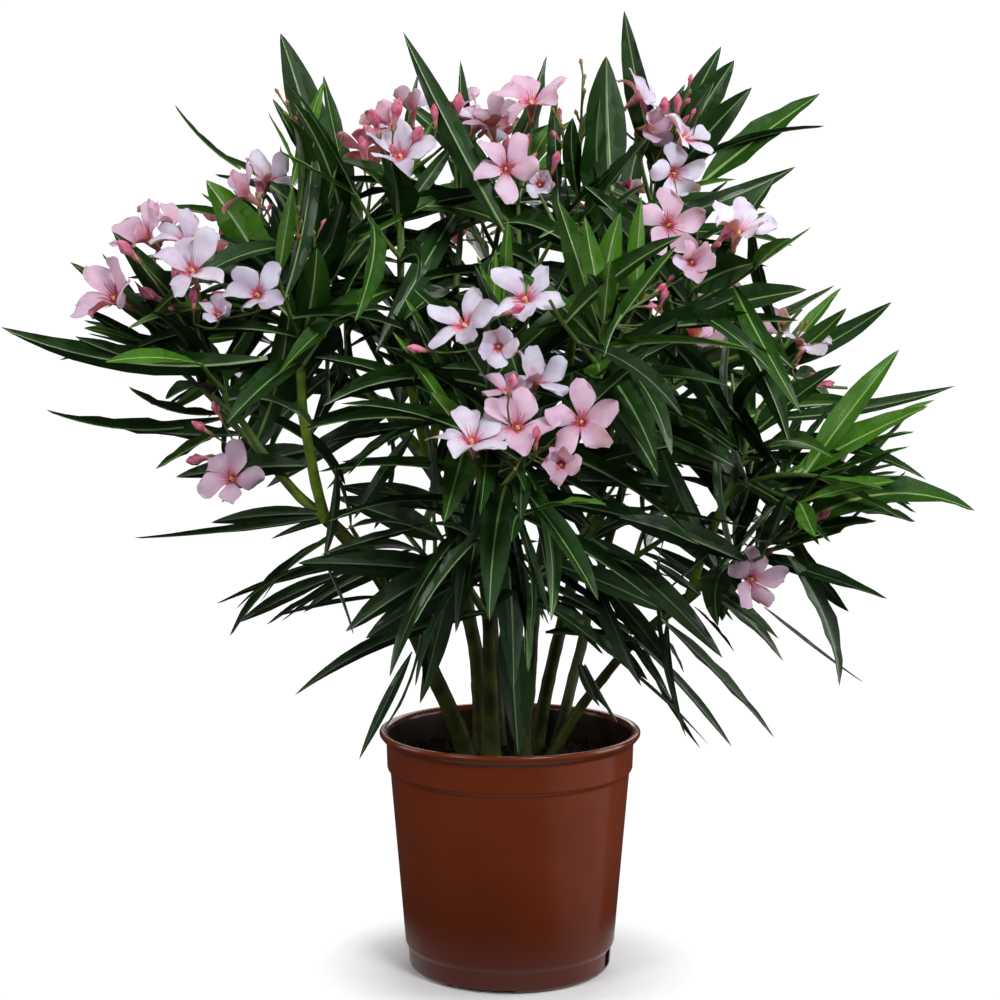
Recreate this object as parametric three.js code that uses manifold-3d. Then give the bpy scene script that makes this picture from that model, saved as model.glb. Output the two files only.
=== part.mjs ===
// A potted oleander: a many-stemmed shrub in a plastic nursery pot. Bare stems rise from the soil, lean apart
// and fork, and every fork ends in leafy shoots that carry loose heads of five-petalled flowers.
// Millimetres, +Z up. The pot stands on z = 0 round the Z axis, and -Y is the front.
import * as THREE from "three";
import { mergeVertices } from "three/addons/utils/BufferGeometryUtils.js";
import Module from "manifold-3d";

const wasm = await Module();
wasm.setup();

// ---------------------------------------------------------------- driving dimensions
const POT = {
  height: 185,
  rim: 100, // radius over the rolled lip
  lip: 10, // height of the lip
  collar: 94.5, // radius of the band under the lip
  collarDrop: 34, // depth of the shoulder below the rim
  shoulder: 91.5, // radius of the wall just under the shoulder
  heel: 80.5, // radius where the wall steps in to the foot
  heelHeight: 17,
  foot: 78.5,
  footChamfer: 4,
  wall: 2.2,
  floor: 4,
  sides: 32,
};
// The foot's edge is notched between its feet. Two of the notches run up into a drain slot. Turns are from +X.
const DRAIN = { gaps: 4, first: -1.87, width: 52, rise: 3.2, pad: 44, slotWidth: 13, slotLow: 5, slotHigh: 19 };
const SOIL_TOP = POT.height - 24;
const GAP = 0.3; // clear space between neighbouring pieces

const LEAF = { length: 136, width: 27, thickness: 0.012, fold: 0.16 };
const WHORL = 3; // leaves at one height on a shoot
const WHORL_SPACING = 23;
const SPREAD = { low: 1.42, top: 0.5 }; // angle from the shoot, in radians
const DROOP = { low: 0.85, top: 0.25 }; // how far a blade turns along its length, in radians
const TWIG = { foot: 3.4, tip: 1.6, sides: 3 };
// outline gives the rim in two steps for each petal: its end, and the notch beside it.
const FLOWER = { petal: 26, depth: 5, throat: 4.2, cup: 0.24, outline: [1, 0.55] };
const PETALS = 5;
const MARGIN = 0.8; // how much a blade is swelled when its room is tested, so that masses stay apart
const CROSSING = 1; // most of a leaf, in cubic mm, that may lie inside leaves of its own shoot
const SHARED_ROOM = 80; // how far a leaf may lean into the room of the next shoot

// ---------------------------------------------------------------- the plant's plan
// Stems rise from the soil. foot is where each one stands, knee pulls its curve and end is its fork.
const STEMS = {
  stem_west: { foot: [-31, -10], knee: [-74, -16, 292], end: [-138, -30, 351], radii: [7.2, 5.6] },
  stem_front: { foot: [-13, -23], knee: [-14, -22, 260], end: [-20, -44, 332], radii: [6.4, 4.8] },
  stem_middle: { foot: [-22, 16], knee: [-22, 30, 270], end: [-60, 25, 385], radii: [6.8, 5] },
  stem_centre: { foot: [10, -2], knee: [14, 8, 262], end: [32, 0, 372], radii: [6.8, 5] },
  stem_east: { foot: [32, 6], knee: [62, 12, 226], end: [136, -10, 290], radii: [6, 4.8] },
  stem_right: { foot: [20, 30], knee: [40, 26, 290], end: [82, 16, 402], radii: [6.6, 4.8] },
  stem_north: { foot: [-8, 44], knee: [-12, 66, 262], end: [-24, 108, 368], radii: [6.4, 4.8] },
  stem_far: { foot: [38, 50], knee: [62, 84, 262], end: [92, 126, 356], radii: [6.2, 4.8] },
};
// Boughs grow on from the end of the limb named first.
const BOUGHS = {
  bough_west: { on: "stem_west", knee: [-152, -36, 402], end: [-154, -40, 462], radii: [4.8, 3.9] },
  bough_west_out: { on: "stem_west", knee: [-160, -16, 366], end: [-184, -14, 396], radii: [4.6, 3.8] },
  bough_mid_left: { on: "stem_middle", knee: [-76, 10, 430], end: [-80, -6, 490], radii: [4.2, 3.6] },
  bough_mid_high: { on: "stem_middle", knee: [-56, 36, 440], end: [-44, 40, 500], radii: [4.2, 3.6] },
  bough_back_west: { on: "stem_middle", knee: [-92, 62, 420], end: [-124, 96, 450], radii: [4.4, 3.8] },
  bough_centre_top: { on: "stem_centre", knee: [16, 8, 430], end: [10, 4, 490], radii: [4.2, 3.6] },
  bough_centre_right: { on: "stem_centre", knee: [44, 2, 430], end: [46, -8, 482], radii: [4, 3.5] },
  bough_inner: { on: "stem_centre", knee: [44, -44, 400], end: [54, -88, 432], radii: [4.2, 3.6] },
  bough_east: { on: "stem_east", knee: [146, -24, 330], end: [160, -36, 366], radii: [4.2, 3.6] },
  bough_right_top: { on: "stem_right", knee: [92, 26, 460], end: [102, 30, 524], radii: [4.4, 3.7] },
  bough_right_high: { on: "stem_right", knee: [98, -18, 440], end: [116, -46, 476], radii: [4.2, 3.6] },
  bough_right_mid: { on: "stem_right", knee: [118, 16, 424], end: [158, 10, 440], radii: [4.2, 3.6] },
  bough_north: { on: "stem_north", knee: [-26, 128, 430], end: [-22, 132, 484], radii: [4.2, 3.6] },
};
// A shoot is the leafy end of a limb: one mass of foliage. bare is the share of it with no leaves, size scales its
// leaves, turn starts its whorls, leads are the tips of its longest leaves, each [x, y, z, bend, roll, width], and
// blooms are its flowers, each [x, y, z, turn to the right, tilt up, size], with the angles in degrees.
const SHOOTS = {
  west_low: {
    on: "bough_west_out", tip: [-224, -60, 476], bare: 0.35, size: 1, turn: 0.4,
    leads: [[-366, -75, 494, -0.62, 0.5, 24], [-310, -90, 488, -0.3, 0.9, 20], [-321, -45, 540, 0.2, -0.6, 26],
      [-281, -95, 562, 0.25, 1.1, 22]],
    blooms: [[-287, -85, 516, -65, 0, 1], [-274, -70, 569, -120, 40, 1], [-257, -50, 576, 60, 50, 1],
      [-233, -80, 558, -20, 20, 1], [-223, -115, 537, 0, 22, 1.2], [-204, -120, 506, 0, -5, 0.75],
      [-180, -100, 519, -15, 10, 1]],
  },
  west_out: {
    on: "bough_west_out", tip: [-226, 14, 430], bare: 0.2, size: 1.02, turn: 1.3, cyme: 0.4,
    leads: [[-279, -50, 450, -0.75, 0.7, 20], [-348, -10, 430, -0.7, 0.6, 20], [-339, 30, 422, -0.25, 0.6, 22],
      [-274, -44, 339, 0.12, 0.5, 17], [-268, 0, 384, 0.1, 0.4, 14]],
    blooms: [[-200, -48, 388, -35, 0, 1.1]],
  },
  west_up: {
    on: "bough_west", tip: [-150, -54, 524], bare: 0.1, size: 0.86, turn: 0.1,
    leads: [[-137, -92, 551, 0.3, 0.2, 27], [-126, -104, 495, 0.3, 0.5, 30]],
  },
  west_mid: {
    on: "bough_west", tip: [-190, 12, 544], bare: 0.2, size: 0.95, turn: 0.9,
    leads: [[-256, 50, 659, -0.35, 0.4, 15], [-224, -20, 600, 0.15, 1.2, 32]],
    blooms: [[-198, -10, 591, -60, 25, 1], [-182, 14, 604, 10, 50, 0.95]],
  },
  west_top: {
    on: "bough_west", tip: [-132, 34, 590], bare: 0.25, size: 1, turn: 1.8,
    leads: [[-173, 30, 711, 0.14, 1.45, 31], [-180, 0, 651, 0.1, 0.1, 14]],
  },
  mid_left: {
    on: "bough_mid_left", tip: [-82, -34, 582], bare: 0.15, size: 1, turn: 0.6,
    leads: [[-84, -92, 611, 0.3, 0.1, 31], [-70, 60, 684, -0.3, 0.3, 13]],
    blooms: [[-80, -56, 618, -5, 10, 1.1], [-88, -30, 643, -110, 40, 0.9], [-72, -12, 655, 20, 50, 0.9]],
  },
  mid_high: {
    on: "bough_mid_high", tip: [-36, 50, 606], bare: 0.15, size: 1, turn: 0.2,
    leads: [[-78, -6, 706, -0.12, 0.75, 21], [-38, 52, 692, 0.1, 1.2, 19]],
    blooms: [[-42, 44, 657, -20, 60, 0.95], [-22, 30, 645, 60, 40, 0.95]],
  },
  back_west: {
    on: "bough_back_west", tip: [-196, 132, 500], bare: 0.15, size: 1, turn: 0.5,
    leads: [[-300, 186, 520, -0.3, 0.5, 22]],
    blooms: [[-222, 150, 556, -140, 30, 1.05], [-236, 120, 536, -100, 20, 1]],
  },
  back_west_top: {
    on: "bough_back_west", tip: [-112, 120, 580], bare: 0.2, size: 0.98, turn: 1.5,
    leads: [[-152, 176, 690, -0.2, 0.6, 20]],
    blooms: [[-118, 142, 632, -170, 40, 1], [-96, 126, 645, 120, 50, 1]],
  },
  centre_top: {
    on: "bough_centre_top", tip: [6, 0, 584], bare: 0.15, size: 0.95, turn: 1,
    leads: [],
    blooms: [[15, -34, 650, -8, 25, 1.2], [-3, -56, 608, 5, 5, 1.05], [22, -50, 596, 10, 0, 0.72],
      [-14, -2, 644, -40, 30, 0.95]],
  },
  centre_right: {
    on: "bough_centre_right", tip: [50, -22, 590], bare: 0.15, size: 0.95, turn: 0.7,
    leads: [[72, -45, 688, 0.1, 0.15, 30]],
  },
  inner_front: {
    on: "bough_inner", tip: [64, -144, 500], bare: 0.1, size: 0.86, turn: 0.35,
    leads: [[31, -160, 584, 0.12, 0.35, 19], [112, -158, 552, 0.15, 0.35, 17], [147, -176, 458, 0.45, 0.7, 20],
      [97, -190, 409, 0.5, 0.9, 24], [7, -156, 534, 0.3, 0.5, 16], [154, -166, 412, 0.4, 0.5, 21]],
  },
  front_low: {
    on: "stem_front", tip: [8, -158, 398], bare: 0.35, size: 1, turn: 0.9,
    leads: [[10, -158, 269, 0.5, 0.6, 24]],
    blooms: [[18, -150, 462, 40, 25, 1], [4, -185, 432, 8, 22, 1.15], [-27, -190, 424, -10, 15, 1.15],
      [47, -182, 435, 15, 8, 1.1], [33, -192, 407, 5, -8, 0.85], [-2, -152, 456, -20, 60, 0.95]],
  },
  front_high: {
    on: "stem_front", tip: [-14, -104, 474], bare: 0.4, size: 0.95, turn: 0.2,
    leads: [],
    blooms: [[-33, -150, 500, -15, 15, 1.1], [9, -156, 518, 5, 20, 1.15], [-9, -167, 485, 0, -8, 0.85]],
  },
  east_low: {
    on: "stem_east", tip: [204, -70, 346], bare: 0.3, size: 1, turn: 0.5, cyme: 0.5,
    leads: [[331, -100, 367, 0.42, 1.25, 29], [268, -60, 352, 0.3, 0.9, 22], [239, -116, 240, 0.75, 0.6, 17],
      [264, -134, 306, 0.12, 0.5, 16]],
    blooms: [[176, -82, 312, 0, 0, 1]],
  },
  east_fan: {
    on: "bough_east", tip: [220, -92, 388], bare: 0.3, size: 0.95, turn: 0,
    leads: [[276, -94, 479, 0.1, 1, 22], [294, -112, 440, 0.15, 1.15, 24], [236, -64, 440, 0.1, 0.5, 10]],
  },
  east: {
    on: "bough_east", tip: [184, -36, 434], bare: 0.25, size: 1, turn: 0.8,
    leads: [[323, -62, 451, -0.3, 0.7, 15], [293, -116, 388, 0.9, 0.7, 17], [241, -56, 466, 0.2, 1, 21]],
  },
  east_back: {
    on: "stem_east", tip: [214, 60, 360], bare: 0.3, size: 1, turn: 1.1,
    leads: [[310, 100, 372, 0.2, 0.5, 22]],
  },
  right_top: {
    on: "bough_right_top", tip: [114, 38, 618], bare: 0.2, size: 1, turn: 0.3,
    leads: [[86, 34, 728, 0.12, 0.7, 21], [160, 40, 702, 0.15, 0.9, 21], [180, 6, 669, 0.2, 1.2, 25],
      [231, 14, 665, 0.12, 1, 23], [219, 50, 612, -0.3, 0.7, 15]],
    blooms: [[98, 14, 664, 45, 15, 1], [106, 4, 640, 40, -10, 0.9], [130, -12, 633, 40, 5, 1],
      [122, -22, 604, 40, -20, 1]],
  },
  right_high: {
    on: "bough_right_high", tip: [132, -76, 528], bare: 0.1, size: 0.92, turn: 0.9,
    leads: [[168, -128, 540, 0.3, 0.9, 27], [210, -92, 521, 0.15, 0.9, 24], [221, -30, 566, -0.2, 0.4, 14]],
    blooms: [[112, -98, 567, -5, 5, 1.05], [160, -106, 564, 12, 20, 1.15], [127, -118, 541, 5, -8, 0.9]],
  },
  right_mid: {
    on: "bough_right_mid", tip: [208, 12, 464], bare: 0.1, size: 0.95, turn: 0.2,
    leads: [[254, 40, 520, 0.1, 0.6, 14], [250, -16, 506, -0.3, 0.6, 17], [287, 6, 510, -0.3, 0.7, 17]],
    blooms: [[220, -6, 480, 50, 40, 0.95], [204, 16, 492, -20, 20, 0.8]],
  },
  right_back: {
    on: "stem_right", tip: [146, 86, 466], bare: 0.3, size: 0.98, turn: 1.4,
    leads: [[262, 130, 520, -0.2, 0.5, 20]],
    blooms: [[146, 62, 482, 20, 35, 1.1], [176, 106, 502, 120, 30, 1]],
  },
  north: {
    on: "bough_north", tip: [-18, 190, 540], bare: 0.1, size: 1, turn: 0.6,
    leads: [[-40, 300, 580, -0.2, 0.6, 20]],
    blooms: [[-24, 214, 590, 170, 30, 1.1], [-44, 206, 572, -160, 10, 1]],
  },
  north_top: {
    on: "bough_north", tip: [-2, 118, 596], bare: 0.2, size: 0.95, turn: 1.2,
    leads: [[30, 150, 704, 0.1, 0.6, 22]],
    blooms: [[-8, 132, 646, 170, 45, 1]],
  },
  north_low: {
    on: "stem_north", tip: [-92, 202, 420], bare: 0.2, size: 1, turn: 0.2,
    leads: [[-170, 268, 400, 0.4, 0.6, 20]],
  },
  far: {
    on: "stem_far", tip: [136, 196, 446], bare: 0.25, size: 1, turn: 0.8,
    leads: [[212, 268, 470, -0.2, 0.5, 21]],
    blooms: [[150, 218, 496, 160, 25, 1.1], [182, 200, 484, 120, 10, 1]],
  },
  far_top: {
    on: "stem_far", tip: [76, 132, 548], bare: 0.45, size: 0.98, turn: 0.1,
    leads: [[110, 190, 650, 0.1, 0.6, 20]],
    blooms: [[88, 150, 600, 150, 40, 1]],
  },
  // The skirt: older, drooping leaves on short side shoots low on the stems.
  skirt_west: {
    on: "stem_west", from: 0.62, tip: [-116, -74, 350], bare: 0.12, size: 1, turn: 0.3, old: true,
    leads: [[-206, -66, 266, 0.75, 0.6, 17], [-220, -30, 286, 0.2, 0.5, 14], [-166, -84, 282, 0.2, 0.4, 11],
      [-160, -84, 224, 0.6, 0.5, 17], [-92, -92, 205, 0.7, 0.6, 13], [-110, -88, 178, 0.2, 0.5, 10]],
  },
  skirt_west_back: {
    on: "stem_middle", from: 0.5, tip: [-100, 66, 350], bare: 0.12, size: 1, turn: 1, old: true,
    leads: [[-190, 40, 258, 0.3, 0.5, 16], [-170, 150, 250, 0.4, 0.5, 18]],
  },
  skirt_front: {
    on: "stem_front", from: 0.62, tip: [-56, -100, 356], bare: 0.12, size: 1, turn: 0.15, old: true,
    leads: [[-116, -136, 283, 0.2, 0.9, 25], [-150, -124, 330, 0.15, 0.8, 22], [6, -86, 181, 0.15, 0.2, 23],
      [-66, -84, 221, 0.3, 0.3, 17]],
  },
  skirt_centre: {
    on: "stem_centre", from: 0.66, tip: [82, -78, 366], bare: 0.12, size: 1, turn: 0.6, old: true,
    leads: [[150, -124, 262, 0.35, 0.7, 19], [92, -136, 244, 0.3, 0.6, 20]],
  },
  skirt_east: {
    on: "stem_east", from: 0.7, tip: [138, -68, 300], bare: 0.1, size: 0.95, turn: 0.9, old: true,
    leads: [[257, -40, 226, 0.15, 0.4, 9], [194, -72, 193, 0.4, 0.6, 15], [165, -48, 181, 0.5, 0.5, 13]],
  },
  skirt_far: {
    on: "stem_far", from: 0.62, tip: [144, 96, 332], bare: 0.12, size: 1, turn: 0.4, old: true,
    leads: [[224, 120, 214, 0.5, 0.6, 18], [190, 190, 236, 0.4, 0.5, 18]],
  },
  skirt_north: {
    on: "stem_north", from: 0.6, tip: [-44, 156, 346], bare: 0.12, size: 1, turn: 0.7, old: true,
    leads: [[-60, 236, 240, 0.5, 0.6, 19], [30, 230, 230, 0.5, 0.5, 18]],
  },
};

// ---------------------------------------------------------------- small tools
const vec = (a) => new THREE.Vector3(...a);
const mix = (a, b, t) => a + (b - a) * t;
const DOWN = new THREE.Vector3(0, 0, -1);
const UP = new THREE.Vector3(0, 0, 1);

// A repeatable number from 0 to 1 for each pair of whole numbers.
function noise(seed, i) {
  const s = Math.sin(seed * 12.9898 + i * 78.233) * 43758.5453;
  return s - Math.floor(s);
}

const swing = (seed, i, amount) => (noise(seed, i) - 0.5) * 2 * amount;

// v with its part along the unit vector axis taken out, at unit length.
function across(v, axis) {
  const flat = v.clone().addScaledVector(axis, -v.dot(axis));
  return flat.lengthSq() > 1e-6 ? flat.normalize() : across(new THREE.Vector3(0.31, -0.9, 0.17), axis);
}

function toSolid(geometry) {
  geometry.deleteAttribute("normal");
  geometry.deleteAttribute("uv");
  const merged = mergeVertices(geometry, 1e-3);
  const mesh = new wasm.Mesh({
    numProp: 3,
    vertProperties: merged.attributes.position.array,
    triVerts: new Uint32Array(merged.index.array),
  });
  return new wasm.Manifold(mesh);
}

function toGeometry(solid) {
  const made = solid.getMesh();
  const geometry = new THREE.BufferGeometry();
  geometry.setAttribute("position", new THREE.BufferAttribute(made.vertProperties, 3));
  geometry.setIndex(new THREE.BufferAttribute(made.triVerts, 1));
  geometry.computeVertexNormals();
  return geometry;
}

// ---------------------------------------------------------------- limbs
// A round, tapering, closed rod along a curve: a cylinder whose rings are moved onto the curve.
function rod(curve, radiusAt, sides, segments, levelFoot = false) {
  const geometry = new THREE.CylinderGeometry(1, 1, 1, sides, segments);
  const place = geometry.getAttribute("position");
  const chord = curve.getPoint(1).sub(curve.getPoint(0)).normalize();
  const guide = across(new THREE.Vector3(0.3, 1, 0.1), chord);
  for (let i = 0; i < place.count; i++) {
    const u = place.getY(i) + 0.5;
    const along = levelFoot && u < 1e-6 ? UP.clone() : curve.getTangent(u);
    const side = across(guide, along);
    const third = side.clone().cross(along);
    const r = radiusAt(u);
    const p = curve.getPoint(u);
    p.addScaledVector(side, place.getX(i) * r).addScaledVector(third, place.getZ(i) * r);
    place.setXYZ(i, p.x, p.y, p.z);
  }
  return toSolid(geometry);
}

// The stretch of a curve from share a to share b, as a curve of its own.
function stretch(curve, a, b) {
  const cut = new THREE.Curve();
  cut.getPoint = (u) => curve.getPoint(mix(a, b, u));
  cut.getTangent = (u) => curve.getTangent(mix(a, b, u));
  return cut;
}

const STUB = 13; // least length of the stubs that a fork holds out for the limbs and shoots it carries
const LIMB_SIDES = 6;

function limbCurve(plan, start) {
  return new THREE.QuadraticBezierCurve3(start, vec(plan.knee), vec(plan.end));
}

function shootCurve(plan, parent) {
  const u = plan.from ?? 1;
  const start = parent.curve.getPoint(u);
  const tip = vec(plan.tip);
  const reach = tip.distanceTo(start);
  const lead = tip.clone().sub(start).normalize();
  if (plan.from === undefined) lead.add(parent.curve.getTangent(1)).normalize();
  return new THREE.QuadraticBezierCurve3(start, start.clone().addScaledVector(lead, reach * 0.45), tip);
}

// Each limb with its curve, and the share of it that its parent's stub takes.
const limbs = {};
for (const [name, plan] of Object.entries(STEMS)) {
  const curve = limbCurve(plan, new THREE.Vector3(...plan.foot, SOIL_TOP + GAP));
  limbs[name] = { name, curve, radii: plan.radii, taken: 0, children: [], flare: 0.34 };
}
for (const [name, plan] of Object.entries(BOUGHS)) {
  const curve = limbCurve(plan, limbs[plan.on].curve.getPoint(1));
  const limb = { name, curve, radii: plan.radii, reach: STUB, children: [], flare: 0 };
  limbs[name] = limb;
  limbs[plan.on].children.push(limb);
}

const shoots = Object.entries(SHOOTS).map(([name, plan], index) => {
  const parent = limbs[plan.on];
  const curve = shootCurve(plan, parent);
  const reach = plan.from === undefined ? STUB : parent.radii[0] + 9;
  const shoot = { name, plan, curve, reach, seed: index + 1, radii: [TWIG.foot, TWIG.tip] };
  parent.children.push(shoot);
  return shoot;
});

function radiusOf(limb) {
  const [foot, tip] = limb.radii;
  return (u) => mix(foot, tip, u) * (1 + (limb.flare ?? 0) * Math.exp(-u * 14));
}

// The stubs of a fork are long enough for the pieces that grow on from them to stand clear of each other.
function stubLength(child, siblings) {
  const { curve, radii } = child;
  const length = curve.getLength();
  const clear = (s) =>
    siblings.every((other) => {
      if (other === child) return true;
      const p = curve.getPoint(s / length);
      const nearest = Math.min(...other.curve.getPoints(60).map((q) => q.distanceTo(p)));
      return nearest > radii[0] + other.radii[0] + 2;
    });
  let s = child.reach;
  while (s < length * 0.6 && !clear(s)) s += 2;
  return s;
}

for (const { children } of Object.values(limbs)) {
  for (const child of children) child.taken = stubLength(child, children) / child.curve.getLength();
}

// A limb is its own rod, with a short stub for each limb or shoot that grows from it.
function limbSolid(limb) {
  const radiusAt = radiusOf(limb);
  const from = limb.taken ? limb.taken + GAP / limb.curve.getLength() : 0;
  const body = stretch(limb.curve, from, 1);
  let solid = rod(body, (u) => radiusAt(mix(from, 1, u)), LIMB_SIDES, 4, !limb.taken);
  for (const child of limb.children) {
    const childRadius = radiusOf(child);
    const stub = stretch(child.curve, 0, child.taken);
    const sides = child.plan ? TWIG.sides : LIMB_SIDES;
    solid = solid.add(rod(stub, (u) => childRadius(child.taken * u), sides, 1));
  }
  return solid;
}

// ---------------------------------------------------------------- leaves and petals
// A slim three-sided blade. at(v) gives each section: its middle, its side and its underside direction, its half
// width, how far the edges lift and how deep the rib stands under them.
function blade(sections, at) {
  const geometry = new THREE.CylinderGeometry(0, 0, 1, 3, sections);
  const place = geometry.getAttribute("position");
  const uv = geometry.getAttribute("uv");
  for (let i = 0; i < place.count; i++) {
    const corner = Math.round(uv.getX(i) * 3) % 3;
    const v = uv.getY(i);
    const { middle, side, under, half, lift, rib } = at(v);
    const p = middle.clone();
    if (v > 0 && v < 1) {
      if (corner === 0) p.addScaledVector(under, rib);
      else p.addScaledVector(side, corner === 1 ? half : -half).addScaledVector(under, -lift);
    }
    place.setXYZ(i, p.x, p.y, p.z);
  }
  return toSolid(geometry);
}

// The outline of a leaf: narrow at its stalk, widest just below its middle, and drawn out to a point.
const leafWidth = (v) => Math.pow(Math.sin(Math.PI * Math.pow(v, 0.86)), 0.8);

// A leaf is {root, lead, toward, length, bend, roll, width}: it sets out along lead and turns by bend towards toward.
function leafSolid(leaf, swell = 0) {
  const { root, lead, toward, length, roll, width } = leaf;
  const bend = Math.abs(leaf.bend) < 1e-3 ? 1e-3 : leaf.bend;
  const thick = length * LEAF.thickness + swell;
  return blade(leaf.rank === 0 ? 3 : 2, (v) => {
    const turned = bend * v;
    const scale = length / bend;
    const middle = root.clone().addScaledVector(lead, Math.sin(turned) * scale);
    middle.addScaledVector(toward, (1 - Math.cos(turned)) * scale);
    const along = lead.clone().multiplyScalar(Math.cos(turned)).addScaledVector(toward, Math.sin(turned));
    const under = toward.clone().multiplyScalar(Math.cos(turned)).addScaledVector(lead, -Math.sin(turned));
    under.applyAxisAngle(along, roll);
    const half = (width / 2) * leafWidth(v) + swell;
    const lift = half * LEAF.fold;
    return { middle, side: along.clone().cross(under), under, half, lift, rib: Math.max(thick - lift, thick * 0.3) };
  });
}

// The way in which a leaf curls: down, and away from the middle of the plant.
function curlOf(root, lead) {
  const away = new THREE.Vector3(root.x, root.y, 0);
  if (away.lengthSq() < 1) away.set(0, -1, 0);
  return across(DOWN.clone().multiplyScalar(0.75).addScaledVector(away.normalize(), 0.5), lead);
}

// Side twigs leave a shoot one after another round it.
function sideTwigs(shoot) {
  const { plan, curve, seed } = shoot;
  const reach = curve.getLength();
  const count = plan.old || reach > 125 ? 2 : 1;
  return Array.from({ length: count }, (_, k) => {
    const u = mix(Math.max(plan.bare, shoot.taken + 0.12), 0.8, (k + 0.3) / count);
    const root = curve.getPoint(u);
    const along = curve.getTangent(u);
    const east = across(new THREE.Vector3(1, 0.2, 0), along);
    const north = along.clone().cross(east);
    const angle = plan.turn + 1 + k * 2.4 + seed;
    const lead = along.clone().multiplyScalar(0.72);
    lead.addScaledVector(east, Math.cos(angle) * 0.68).addScaledVector(north, Math.sin(angle) * 0.68);
    lead.normalize();
    const length = mix(46, 62, noise(seed, 40 + k));
    const tip = root.clone().addScaledVector(lead, length).addScaledVector(along, length * 0.25);
    const twig = new THREE.QuadraticBezierCurve3(root, root.clone().addScaledVector(lead, length * 0.5), tip);
    return { ...shoot, curve: twig, plan: { ...plan, bare: 0.45, turn: angle }, seed: seed + 40 * (k + 1) };
  });
}

// Whorls of three up a shoot: old leaves stand out and droop, young ones at the tip stand up.
function ruledLeaves(shoot) {
  const { plan, curve, seed } = shoot;
  const leafy = curve.getLength() * (1 - plan.bare);
  const whorls = Math.max(2, Math.round(leafy / WHORL_SPACING));
  const leaves = [];
  for (let w = 0; w < whorls; w++) {
    const f = whorls > 1 ? w / (whorls - 1) : 1;
    const u = mix(plan.bare, 0.97, f);
    const root = curve.getPoint(u);
    const along = curve.getTangent(u);
    const east = across(new THREE.Vector3(1, 0.2, 0), along);
    const north = along.clone().cross(east);
    for (let k = 0; k < WHORL; k++) {
      const i = w * WHORL + k;
      const angle = plan.turn + w * (Math.PI / 3) + k * ((2 * Math.PI) / 3) + swing(seed, i, 0.22);
      const out = east.clone().multiplyScalar(Math.cos(angle)).addScaledVector(north, Math.sin(angle));
      const age = plan.old ? 1 - f * 0.35 : 1 - f;
      const spread = mix(SPREAD.top, SPREAD.low, Math.pow(age, 0.7)) + swing(seed, i + 100, 0.16);
      const lead = along.clone().multiplyScalar(Math.cos(spread)).addScaledVector(out, Math.sin(spread));
      const young = f > 0.9 ? 0.72 : 1;
      leaves.push({
        root,
        lead,
        toward: curlOf(root, lead),
        length: LEAF.length * plan.size * young * (1 + swing(seed, i + 200, 0.16)),
        bend: mix(DROOP.top, DROOP.low, age) + swing(seed, i + 300, 0.35),
        roll: swing(seed, i + 400, 0.5),
        width: LEAF.width * (0.9 + swing(seed, i + 500, 0.16)),
        rank: whorls - w,
      });
    }
  }
  return leaves;
}

// The longest leaves of a shoot end at stated tips. nudge moves those tips to the front or back.
function leadLeaves(shoot, nudge) {
  const { plan, curve } = shoot;
  return plan.leads.map(([x, y, z, bend, roll, width], i) => {
    const tip = new THREE.Vector3(x, y + nudge, z);
    const low = z < plan.tip[2];
    const root = curve.getPoint(Math.max(plan.bare, (low ? 0.62 : 0.88) - (i % 3) * 0.1));
    const chord = tip.clone().sub(root);
    const straight = chord.length();
    chord.normalize();
    const curl = curlOf(root, chord);
    const half = bend / 2;
    const lead = chord.clone().multiplyScalar(Math.cos(half)).addScaledVector(curl, -Math.sin(half));
    const toward = curl.clone().multiplyScalar(Math.cos(half)).addScaledVector(chord, Math.sin(half));
    return { root, lead, toward, length: (straight * half) / Math.sin(half), bend, roll, width, rank: 0 };
  });
}

// A flower: a funnel drawn out from a point on its stalk, with a rim cut into petals and a sunken middle.
function bloomSolid([x, y, z, turn, tilt, size], stalkFoot) {
  const a = THREE.MathUtils.degToRad(turn);
  const e = THREE.MathUtils.degToRad(tilt);
  const face = new THREE.Vector3(Math.sin(a) * Math.cos(e), -Math.cos(a) * Math.cos(e), Math.sin(e));
  const side = across(new THREE.Vector3(1, 0.1, 0), face);
  const third = face.clone().cross(side);
  const middle = new THREE.Vector3(x, y, z);
  const throat = middle.clone().addScaledVector(face, -FLOWER.depth * size);
  const geometry = new THREE.CylinderGeometry(1, 0, 1, PETALS * 2, 2);
  const place = geometry.getAttribute("position");
  for (let i = 0; i < place.count; i++) {
    const angle = Math.atan2(place.getX(i), place.getZ(i));
    const step = Math.abs(Math.round((angle / Math.PI) * PETALS)) % 2;
    const v = place.getY(i) + 0.5;
    const rim = v > 0.9 && Math.hypot(place.getX(i), place.getZ(i)) > 0.1;
    const ray = side.clone().multiplyScalar(Math.cos(angle + turn));
    ray.addScaledVector(third, Math.sin(angle + turn));
    let p = middle;
    if (v < 0.1) p = stalkFoot;
    else if (v < 0.9) p = throat.clone().addScaledVector(ray, FLOWER.throat * size);
    else if (rim) {
      const r = FLOWER.petal * FLOWER.outline[step] * size;
      p = middle.clone().addScaledVector(ray, r).addScaledVector(face, r * FLOWER.cup);
    }
    place.setXYZ(i, p.x, p.y, p.z);
  }
  return toSolid(geometry);
}

// The point where a shoot's flower stalks part.
function headOf(shoot) {
  const { plan, curve } = shoot;
  const centre = new THREE.Vector3();
  for (const [x, y, z] of plan.blooms) centre.add(new THREE.Vector3(x, y, z));
  centre.multiplyScalar(1 / plan.blooms.length);
  return curve.getPoint(plan.cyme ?? 1).lerp(centre, 0.4);
}

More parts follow.
